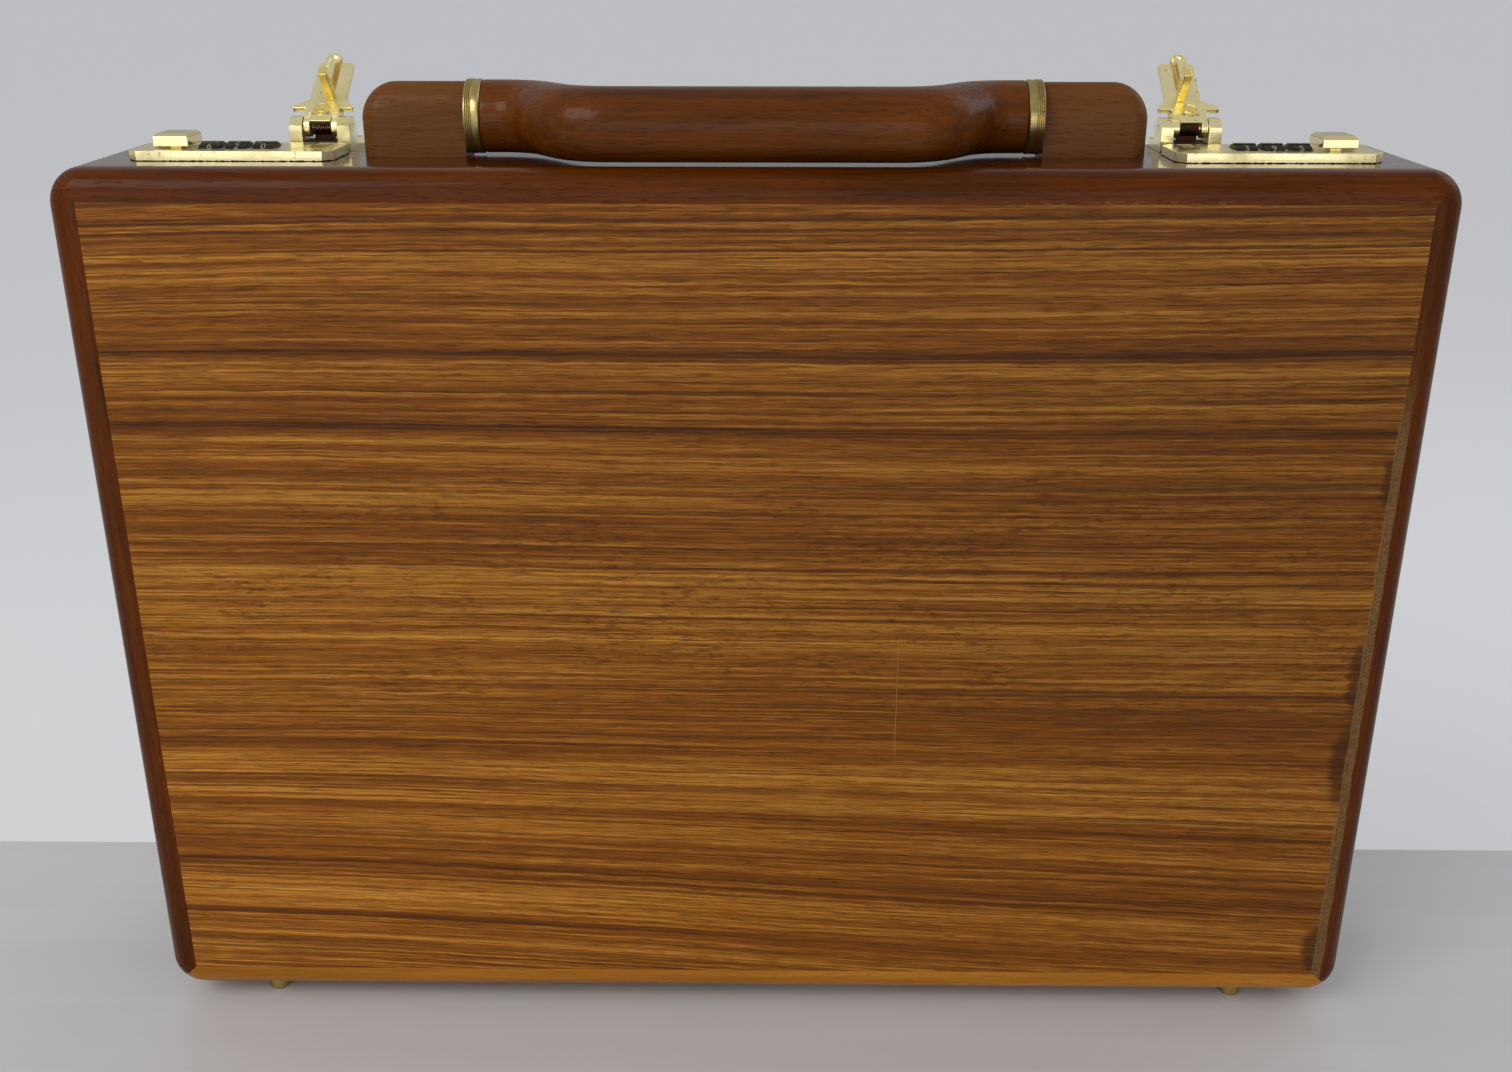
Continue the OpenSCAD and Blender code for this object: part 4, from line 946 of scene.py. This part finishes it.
class CASE_OT_handle(bpy.types.Operator):
    """Bent wooden grip between two ridged ferrules, on steel pins"""

    bl_idname = "case.handle"
    bl_label = "Handle"

    bend: FloatProperty(
        name="Bend", description="Angle of the grip's bends", subtype="ANGLE", default=math.radians(55)
    )
    radius: length("Bend radius", "Radius of the grip's bends, on its middle line", 20, 15, 25)
    stub: length("Straight end", "Straight run of the grip from a ferrule to its bend", 5.4, 2, 10)

    bend_steps = 14
    weld = 0.01 * MM

    def grip(self):
        """Grip drawn along its middle line from the left ferrule to the middle, and mirrored."""
        low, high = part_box("handle_grip")
        thick = (high.z - low.z) / 2
        fall = high.y - low.y - 2 * thick
        run = (fall - 2 * self.radius * (1 - math.cos(self.bend))) / math.sin(self.bend)
        start = -min(abs(corner.x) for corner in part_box("ferrule_left"))
        place, heading = Vector((start, high.y - thick, (low.z + high.z) / 2)), Vector((1, 0, 0))
        bm = bmesh.new()
        upright = Matrix.Translation(place) @ Matrix.Rotation(math.pi / 2, 4, "Y")
        bmesh.ops.create_circle(bm, cap_ends=False, segments=sizes().grip_sides, radius=thick, matrix=upright)
        place, edges = self.straight(bm, bm.edges[:], place, heading, self.stub, 2)
        place, heading, edges = self.curve(bm, edges, place, heading, -self.bend)
        place, edges = self.straight(bm, edges, place, heading, run, 2)
        place, heading, edges = self.curve(bm, edges, place, heading, self.bend)
        self.straight(bm, edges, place, heading, -place.x, 6)
        whole = bm.verts[:] + bm.edges[:] + bm.faces[:]
        bmesh.ops.mirror(bm, geom=whole, axis="X", merge_dist=self.weld)
        bmesh.ops.remove_doubles(bm, verts=bm.verts, dist=self.weld)
        closed(bm)
        break_edges(bm, 0.8 * MM, 3)
        return bm

    def straight(self, bm, edges, place, heading, distance, steps):
        """Draws the run on, straight ahead."""
        for _ in range(steps):
            verts, edges = extruded(bm, edges)
            moved(bm, heading * distance / steps, verts)
        return place + heading * distance, edges

    def curve(self, bm, edges, place, heading, angle):
        """Bends the run about an upright axis; a negative angle bends it towards the viewer."""
        side = Vector((-heading.y, heading.x, 0)) * math.copysign(1, angle)
        centre = place + side * self.radius
        verts = list({v for e in edges for v in e.verts})
        spun = bmesh.ops.spin(
            bm, geom=verts + edges, cent=centre, axis=(0, 0, 1), angle=angle, steps=self.bend_steps
        )
        edges = of_kind(spun["geom_last"], bmesh.types.BMEdge)
        turn = Matrix.Rotation(angle, 3, "Z")
        return centre + turn @ (place - centre), turn @ heading, edges

    def ferrule(self, side):
        """Thin ring with four fine ridges and rounded rims."""
        low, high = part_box(f"ferrule_{side}")
        radius, width = (high.z - low.z) / 2, high.x - low.x
        bore, pitch = radius - 2.4 * MM, 0.62 * MM
        profile = [(0, bore), (0, radius - 0.4 * MM), (0.15 * MM, radius - 0.15 * MM)]
        for i in range(4):
            crest = 0.45 * MM + i * pitch
            profile += [(crest, radius), (crest + 0.18 * MM, radius)]
            profile.append((crest + 0.4 * MM, radius - sizes().ridge))
        collar = ((0.62, 0.12), (0.8, 0.02), (0.93, 0.1), (1, 0.45))
        profile += [(width * share, radius - below * MM) for share, below in collar]
        profile += [(width, bore), (0, bore)]
        bm = turned(profile, 72)
        if side == "right":
            moved(bm, Matrix.Rotation(math.pi, 4, "Z"))
        start = low.x if side == "left" else high.x
        moved(bm, (start, (low.y + high.y) / 2, (low.z + high.z) / 2))
        return bm

    def execute(self, context):
        place_piece(self.grip(), "grip_turned", "grip_wood", "handle_wood", "handle", "handle_grip")
        for side in SIDES:
            node = f"ferrule_{side}"
            place_piece(self.ferrule(side), f"{node}_ridged", "ferrule_brass", "brass", "handle", node)
        finish_node("handle_pins", "steel", "steel", 0.3 * MM)
        return {"FINISHED"}


class CASE_OT_locks(bpy.types.Operator):
    """Lock plates and cases, buttons, bolts and screws"""

    bl_idname = "case.locks"
    bl_label = "Locks"

    def execute(self, context):
        for side in SIDES:
            finish_node(f"lock_plate_{side}", "plate_brass", "brass", 0.12 * MM)
            finish_node(f"lock_case_{side}", "steel", "steel", 0.15 * MM, 1)
            finish_node(f"lock_button_{side}", "brass", "brass", 0.35 * MM, 3)
            finish_node(f"lock_bolt_{side}", "steel", "steel", 0.15 * MM)
        finish_node("dial_shafts", "steel", "steel", 0.1 * MM)
        screws("lock_screws", (0, 0, -1), "steel", "steel")
        return {"FINISHED"}


class CASE_OT_dials(bpy.types.Operator):
    """Six notched wheels, each with the digits 0 to 9 round its rim"""

    bl_idname = "case.dials"
    bl_label = "Dials"

    font_size = 1.38
    shown = {"left": (7, 3, 1), "right": (4, 0, 6)}

    def digits(self, node, turn):
        """Digits wrapped round the rim, between the notches."""
        low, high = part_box(node)
        centre, radius = (low + high) / 2, (high.z - low.z) / 2 - 0.05 * MM
        bm = bmesh.new()
        for i in range(10):
            text = bpy.data.curves.new("digit", "FONT")
            text.body = str(i)
            text.size = sizes().digit * self.font_size
            text.extrude = 0.09 * MM
            text.resolution_u = 3
            text.align_x, text.align_y = "CENTER", "CENTER"
            written = bpy.data.objects.new("digit", text)
            mesh = bpy.data.meshes.new_from_object(written)
            for v in mesh.vertices:
                angle = v.co.y / radius + 2 * math.pi * (i + turn) / 10
                reach = radius + v.co.z
                v.co = centre + Vector((v.co.x, reach * math.sin(angle), reach * math.cos(angle)))
            bm.from_mesh(mesh)
            bpy.data.objects.remove(written)
            bpy.data.curves.remove(text)
            bpy.data.meshes.remove(mesh)
        bmesh.ops.remove_doubles(bm, verts=bm.verts, dist=MERGE)
        return bm

    def execute(self, context):
        for side in SIDES:
            for i, shown in enumerate(self.shown[side], 1):
                node = f"dial_{side}_{i}"
                finish_node(node, "dial_black", "dial", 0.18 * MM)
                place_piece(self.digits(node, -shown), f"digits_{side}_{i}", "digit_paint", "dial", node)
        return {"FINISHED"}


class CASE_OT_hasps(bpy.types.Operator):
    """Hasps with their hooks and rivets, their brackets, pins, springs and screws"""

    bl_idname = "case.hasps"
    bl_label = "Hasps"

    under: length("Underside", "Distance from a hasp's axis to its underside", 3.9, 3.5, 4.5)
    neck_in: length("Neck offset", "How far a hasp's neck stands towards the middle of the case", 1.4, 0, 2)
    hook_wide: FloatProperty(
        name="Hook width", description="Width of a hook, as a share of its solid's",
        default=1.4, min=1, max=1.4,
    )

    # All in millimetres from the axis of a closed hasp. Where its neck starts, and how far out the neck's
    # sides are; the corners of its root and of the spring's flat leg. The leg is partly the spring's real leg
    # and partly a dark sheet, as wide as the coil, that stands for the shade behind the spring.
    neck_start, neck_side = -9, 3
    root = (-3.6, -3.0, -3.9), (3.6, 1.2, -2.75)
    leg = (-3.5, 1.9, -6.3), (3.5, 2.6, -1.2)
    # The upturned flanges of the rear edge: how far out they start, and their corners along Y and Z
    flange_start, flange_low, flange_high = 5.95, (-6.1, -3.6), (-5.1, -2.0)
    # The height where a hook's tip starts, and the share of its length that the tip keeps
    hook_tip, tip_share = -14.6, 0.35
    # The groove: half its width, how much its inward and outward halves are widened, and its
    # sections from end to root, each with its distance and its shares of the width and the depth
    groove_half = 2.3
    inward, outward = 1.35, 0.8
    sections = (
        (32, 0.30, 0.20), (31.3, 0.62, 0.55), (30, 0.84, 0.85), (28, 1, 1), (21, 1, 1), (17, 0.75, 0.85),
        (13.5, 0.25, 0.25),
    )
    # The rivet: its rise, its place along the hasp, and its head as (share of the rise, radius)
    rivet_rise, rivet_along = 0.3, -4.6
    rivet_profile = (
        (0, 3.0), (0.8, 2.9), (0.8, 2.5), (0.2, 2.35), (0.2, 1.75), (0.9, 1.55), (1, 1.25), (0.5, 0.9),
        (0.4, 0),
    )

    # Steps in each turn of a spring
    turn_steps = 20

    def redrawn(self, node, change):
        """A left node's mesh, its points changed as they lie on the closed hasp."""
        bm = merged(node)
        place = opened_hasp("left")
        back = place.inverted()
        for v in bm.verts:
            drawn = back @ v.co
            change(drawn)
            v.co = place @ drawn
        return bm

    def block(self, place, low, high):
        """Block with broken edges, its corners in millimetres."""
        bm = box_mesh([c * MM for c in low], [c * MM for c in high], 0.2 * MM)
        moved(bm, place)
        return bm

    def hasp(self):
        """The left hasp, its neck set off its middle, its rear edge turned up and its tongue grooved."""

        def set_in(drawn):
            if drawn.y < self.neck_start * MM and abs(drawn.x) > self.neck_side * MM:
                drawn.x += self.neck_in

        bm = self.redrawn("hasp_left", set_in)
        break_edges(bm, 0.25 * MM)
        low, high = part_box("hasp_left")
        half, place = (high.x - low.x) / 2 / MM, opened_hasp("left")
        bm = carved(bm, self.groove(place))
        for left, right in ((-half, -self.flange_start), (self.flange_start, half)):
            add_to(bm, self.block(place, (left, *self.flange_low), (right, *self.flange_high)))
        add_to(bm, self.block(place, *self.root))
        return bm

    def groove(self, place):
        """Cutter for the round-bottomed groove, narrowing towards the rivet."""
        depth, half = sizes().groove, self.groove_half * MM
        radius = (half * half + depth * depth) / (2 * depth)
        turns = [math.asin(half / radius) * i / 8 for i in range(-8, 9)]
        outline = [(radius * math.sin(a), depth - radius * (1 - math.cos(a))) for a in turns]
        outline += [(half, -1 * MM), (-half, -1 * MM)]
        outline = [(x * (self.inward if x > 0 else self.outward), z) for x, z in outline]
        bm = lofted([
            [(x * wide, -along * MM, z * deep if z > 0 else z) for x, z in outline]
            for along, wide, deep in self.sections
        ])
        moved(bm, place @ Matrix.Translation((0, 0, -self.under)))
        return bm

    def hook(self):
        """The left hook, its tip shortened, as wide as its slot lets through."""
        tip = self.hook_tip * MM

        def shorten(drawn):
            if drawn.z < tip:
                drawn.z = tip + (drawn.z - tip) * self.tip_share

        bm = self.redrawn("hook_left", shorten)
        low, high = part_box("hook_left")
        middle = (low.x + high.x) / 2
        for v in bm.verts:
            v.co.x = middle + (v.co.x - middle) * self.hook_wide
        break_edges(bm, 0.4 * MM, 3)
        return bm

    def rivet(self):
        """Rivet that holds the left hook: a dimpled head in a low ring, on the underside of the hasp."""
        bm = turned([(share * self.rivet_rise * MM, radius * MM) for share, radius in self.rivet_profile], 40)
        root = Matrix.Translation((0, self.rivet_along * MM, -self.under))
        moved(bm, opened_hasp("left") @ root @ Matrix.Rotation(math.pi / 2, 4, "Y"))
        return bm

    def spring(self, side):
        """Coil between the ears of the hasp, with its flat leg down to the bracket; the leg is partly a real
        leg and partly a wide dark sheet that stands for the shade behind the coil.
        """
        s = sizes()
        reach = self.leg[1][0] * MM - s.wire / 2
        bm = bmesh.new()
        upright = Matrix.Translation((-reach, 0, s.coil)) @ Matrix.Rotation(math.pi / 2, 4, "X")
        bmesh.ops.create_circle(bm, cap_ends=False, segments=8, radius=s.wire / 2, matrix=upright)
        steps = self.turn_steps * s.spring_turns
        bmesh.ops.spin(
            bm, geom=bm.verts[:] + bm.edges[:], cent=(0, 0, 0), axis=(1, 0, 0),
            angle=2 * math.pi * s.spring_turns, steps=steps, dvec=(2 * reach / steps, 0, 0),
        )
        closed(bm)
        add_to(bm, self.block(Matrix.Identity(4), *self.leg))
        moved(bm, hasp_axis(side))
        return bm

    def execute(self, context):
        springs = bmesh.new()
        for side in SIDES:
            body = f"hasp_{side}"
            finish_node(f"hasp_bracket_{side}", "bracket_brass", "brass", 0.35 * MM, 3)
            pieces = (
                (self.hasp(), f"hasp_{side}_pressed", f"hasp_brass_{side}", (f"hasp_{side}",)),
                (self.hook(), f"hook_{side}_shaped", "hook_brass", (f"hook_{side}",)),
                (self.rivet(), f"hook_rivet_{side}", "hook_brass", ()),
            )
            for bm, name, finish, nodes in pieces:
                place_piece(bm if side == "left" else mirrored(bm), name, finish, "brass", body, *nodes)
            add_to(springs, self.spring(side))
        place_piece(springs, "hasp_springs_wound", "spring_steel", "steel", "lid", "hasp_springs")
        finish_node("hasp_pins", "brass", "brass", 0.3 * MM)
        screws("bracket_screws", (0, 0, 1), "brass", "brass")
        return {"FINISHED"}


class CASE_OT_stays(bpy.types.Operator):
    """Folding stays on both sides, with their studs and rivets"""

    bl_idname = "case.stays"
    bl_label = "Stays"

    def execute(self, context):
        for node in ("stay_arms_upper", "stay_arms_lower", "stay_pivots_base", "stay_pivots_lid"):
            finish_node(node, "aged_brass", "brass", 0.3 * MM)
        return {"FINISHED"}


class CASE_OT_stage(bpy.types.Operator):
    """Pale shelf and backdrop, soft studio lights and the camera"""

    bl_idname = "case.stage"
    bl_label = "Stage"

    shelf_depth: length("Shelf depth", "How far the shelf reaches behind the seam", 75.5, 45, 400)
    drop: length("Drop", "How far the backdrop lies below the shelf's top", 120, 100, 500)
    lens: FloatProperty(
        name="Lens", description="The camera's focal length, in millimetres", default=36.17, min=10, max=200
    )

    # Reach and thickness of the shelf, and its cut-out's clearance beside the case and behind it
    shelf_reach, shelf_thick, clearance = 12.0, 6 * MM, (2 * MM, 1.5 * MM)
    # The backdrop's size, and how much it glows to the eye
    backdrop_size, glow = 60, 0.14
    # The camera's place in metres, and its pitch, yaw and roll in degrees
    camera_place, camera_turn = (0.00582, -0.5212, 0.3847), (-21.28, 0.56, 0.045)
    # Colours of the sky: low down, overhead, and as the camera sees it
    haze, zenith, seen = (0.62, 0.64, 0.68, 1), (1.0, 1.0, 1.0, 1), (0.535, 0.545, 0.575, 1)
    # Lamps: name, size, place, what it points at, tint
    lamps = (
        ("window", (0.9, 0.7), (-0.8, -0.9, 1.1), (0, 0, 0.2), (1.0, 0.98, 0.95)),
        ("front", (2.4, 0.7), (0, -1.6, 0.38), (0, 0, 0.2), (1.0, 1.0, 1.0)),
        ("fill", (0.8, 0.8), (1.2, 0.5, 1.0), (0, 0, 0.15), (0.96, 0.98, 1.0)),
    )

    def paper(self, name, shade, roughness):
        """Smooth pale board with faint streaks."""
        f = Finish(name, roughness=roughness)
        streaks = f.noise((3, 40, 1), 3)
        streaked = f.mix(f.fade(streaks, 0.35, 0.65, 0.0, 0.10), shade, colours().backdrop)
        return f.done(streaked, streaks, 0.4 * MM)

    def laid(self, bm, name, finish):
        """A mesh as part of the stage."""
        mesh = to_mesh(bm, name)
        mesh.materials.append(finish.material)
        sheet = to_object(name, mesh)
        sheet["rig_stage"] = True

    def shelf(self):
        """Shelf that the case stands on, cut out behind it so that the lid can hang down."""
        reach, deep = self.shelf_reach, self.shelf_depth
        wide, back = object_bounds()[1][0] + self.clearance[0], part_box("lid_veneer")[1].y + self.clearance[1]
        outline = ((-reach, -reach), (reach, -reach), (reach, deep), (wide, deep))
        outline += ((wide, back), (-wide, back), (-wide, deep), (-reach, deep))
        bm = bmesh.new()
        top = bm.faces.new([bm.verts.new((x, y, 0)) for x, y in outline])
        under = bmesh.ops.extrude_face_region(bm, geom=[top], use_keep_orig=True)["geom"]
        moved(bm, (0, 0, -self.shelf_thick), of_kind(under, bmesh.types.BMVert))
        bmesh.ops.recalc_face_normals(bm, faces=bm.faces)
        self.laid(bm, "shelf", self.paper("pale_shelf", colours().shelf, 0.45))

    def backdrop(self):
        """Paler ground behind the shelf, as bright to the eye as a lit wall."""
        f = self.paper("pale_backdrop", colours().backdrop, 0.75)
        light = f.add("LightPath").outputs
        seen = 0.0
        for ray in ("Camera", "Glossy", "Transmission"):
            seen = f.math("MAXIMUM", seen, light[f"Is {ray} Ray"])
        f.set(Emission_Color=colours().backdrop, Emission_Strength=f.times(seen, self.glow))
        bm = bmesh.new()
        bmesh.ops.create_grid(bm, x_segments=1, y_segments=1, size=self.backdrop_size)
        moved(bm, (0, 0, -self.drop))
        self.laid(bm, "backdrop", f)

    def sky(self):
        """Even light from all round, brighter above; the eye sees it as pale as the backdrop."""
        world = bpy.data.worlds.new("studio")
        t = Tree(world)
        up = t.add("SeparateXYZ", t.add("TexCoord").outputs["Generated"]).outputs["Z"]
        shade = t.ramp(up, [(0.0, self.haze), (0.7, self.zenith)])
        light = t.add("Background", shade, bpy.context.scene.case_lights.sky).outputs[0]
        seen = t.add("Background", self.seen).outputs[0]
        mixed = t.add("MixShader", t.add("LightPath").outputs["Is Camera Ray"], light, seen)
        t.add("OutputWorld", mixed.outputs[0])
        bpy.context.scene.world = world

    def camera(self):
        """Camera at the photograph's place, looking down at the near face."""
        data = bpy.data.cameras.new("camera")
        data.lens, data.sensor_width, data.clip_start = self.lens, 36, 0.01
        pitch, yaw, roll = (math.radians(a) for a in self.camera_turn)
        aim = Matrix.Rotation(yaw, 4, "Z") @ Matrix.Rotation(math.pi / 2 + pitch, 4, "X")
        camera = to_object("camera", data)
        camera.matrix_world = Matrix.Translation(self.camera_place) @ aim @ Matrix.Rotation(roll, 4, "Z")
        bpy.context.scene.camera = camera

    def lamp(self, name, size, place, target, tint):
        """Soft lamp at a place, pointed at its target."""
        light = bpy.data.lights.new(name, "AREA")
        light.shape = "RECTANGLE"
        light.size, light.size_y = size
        light.energy = getattr(bpy.context.scene.case_lights, name)
        light.color = tint
        lamp = to_object(name, light)
        lamp.location = place
        lamp.rotation_euler = (Vector(target) - Vector(place)).to_track_quat("-Z", "Y").to_euler()

    def execute(self, context):
        self.shelf()
        self.backdrop()
        self.sky()
        self.camera()
        for lamp in self.lamps:
            self.lamp(*lamp)
        context.scene.view_settings.view_transform = "Standard"
        return {"FINISHED"}


OPERATORS = (
    CASE_OT_stage, CASE_OT_rails, CASE_OT_panels, CASE_OT_linings, CASE_OT_feet, CASE_OT_hinge,
    CASE_OT_blocks, CASE_OT_handle, CASE_OT_locks, CASE_OT_dials, CASE_OT_hasps, CASE_OT_stays,
)


class CASE_PT_panel(bpy.types.Panel):
    """Lists the pieces of the case, their sizes and their colours"""

    bl_idname = "CASE_PT_panel"
    bl_label = "Attache Case"
    bl_space_type = "VIEW_3D"
    bl_region_type = "UI"
    bl_category = "Case"

    def draw(self, context):
        for operator in OPERATORS:
            self.layout.operator(operator.bl_idname)
        for group in (context.scene.case_sizes, context.scene.case_colours, context.scene.case_lights):
            box = self.layout.box()
            for name in group.bl_rna.properties.keys():
                if name not in ("rna_type", "name"):
                    box.prop(group, name)


GROUPS = {"case_sizes": CASE_PG_sizes, "case_colours": CASE_PG_colours, "case_lights": CASE_PG_lights}
CLASSES = (*GROUPS.values(), *OPERATORS, CASE_PT_panel)


def register():
    for cls in CLASSES:
        bpy.utils.register_class(cls)
    for name, group in GROUPS.items():
        setattr(bpy.types.Scene, name, PointerProperty(type=group))


def unregister():
    for name in GROUPS:
        delattr(bpy.types.Scene, name)
    for cls in reversed(CLASSES):
        bpy.utils.unregister_class(cls)


def main():
    register()
    for operator in OPERATORS:
        group, name = operator.bl_idname.split(".")
        getattr(getattr(bpy.ops, group), name)()


if __name__ == "__main__":
    main()
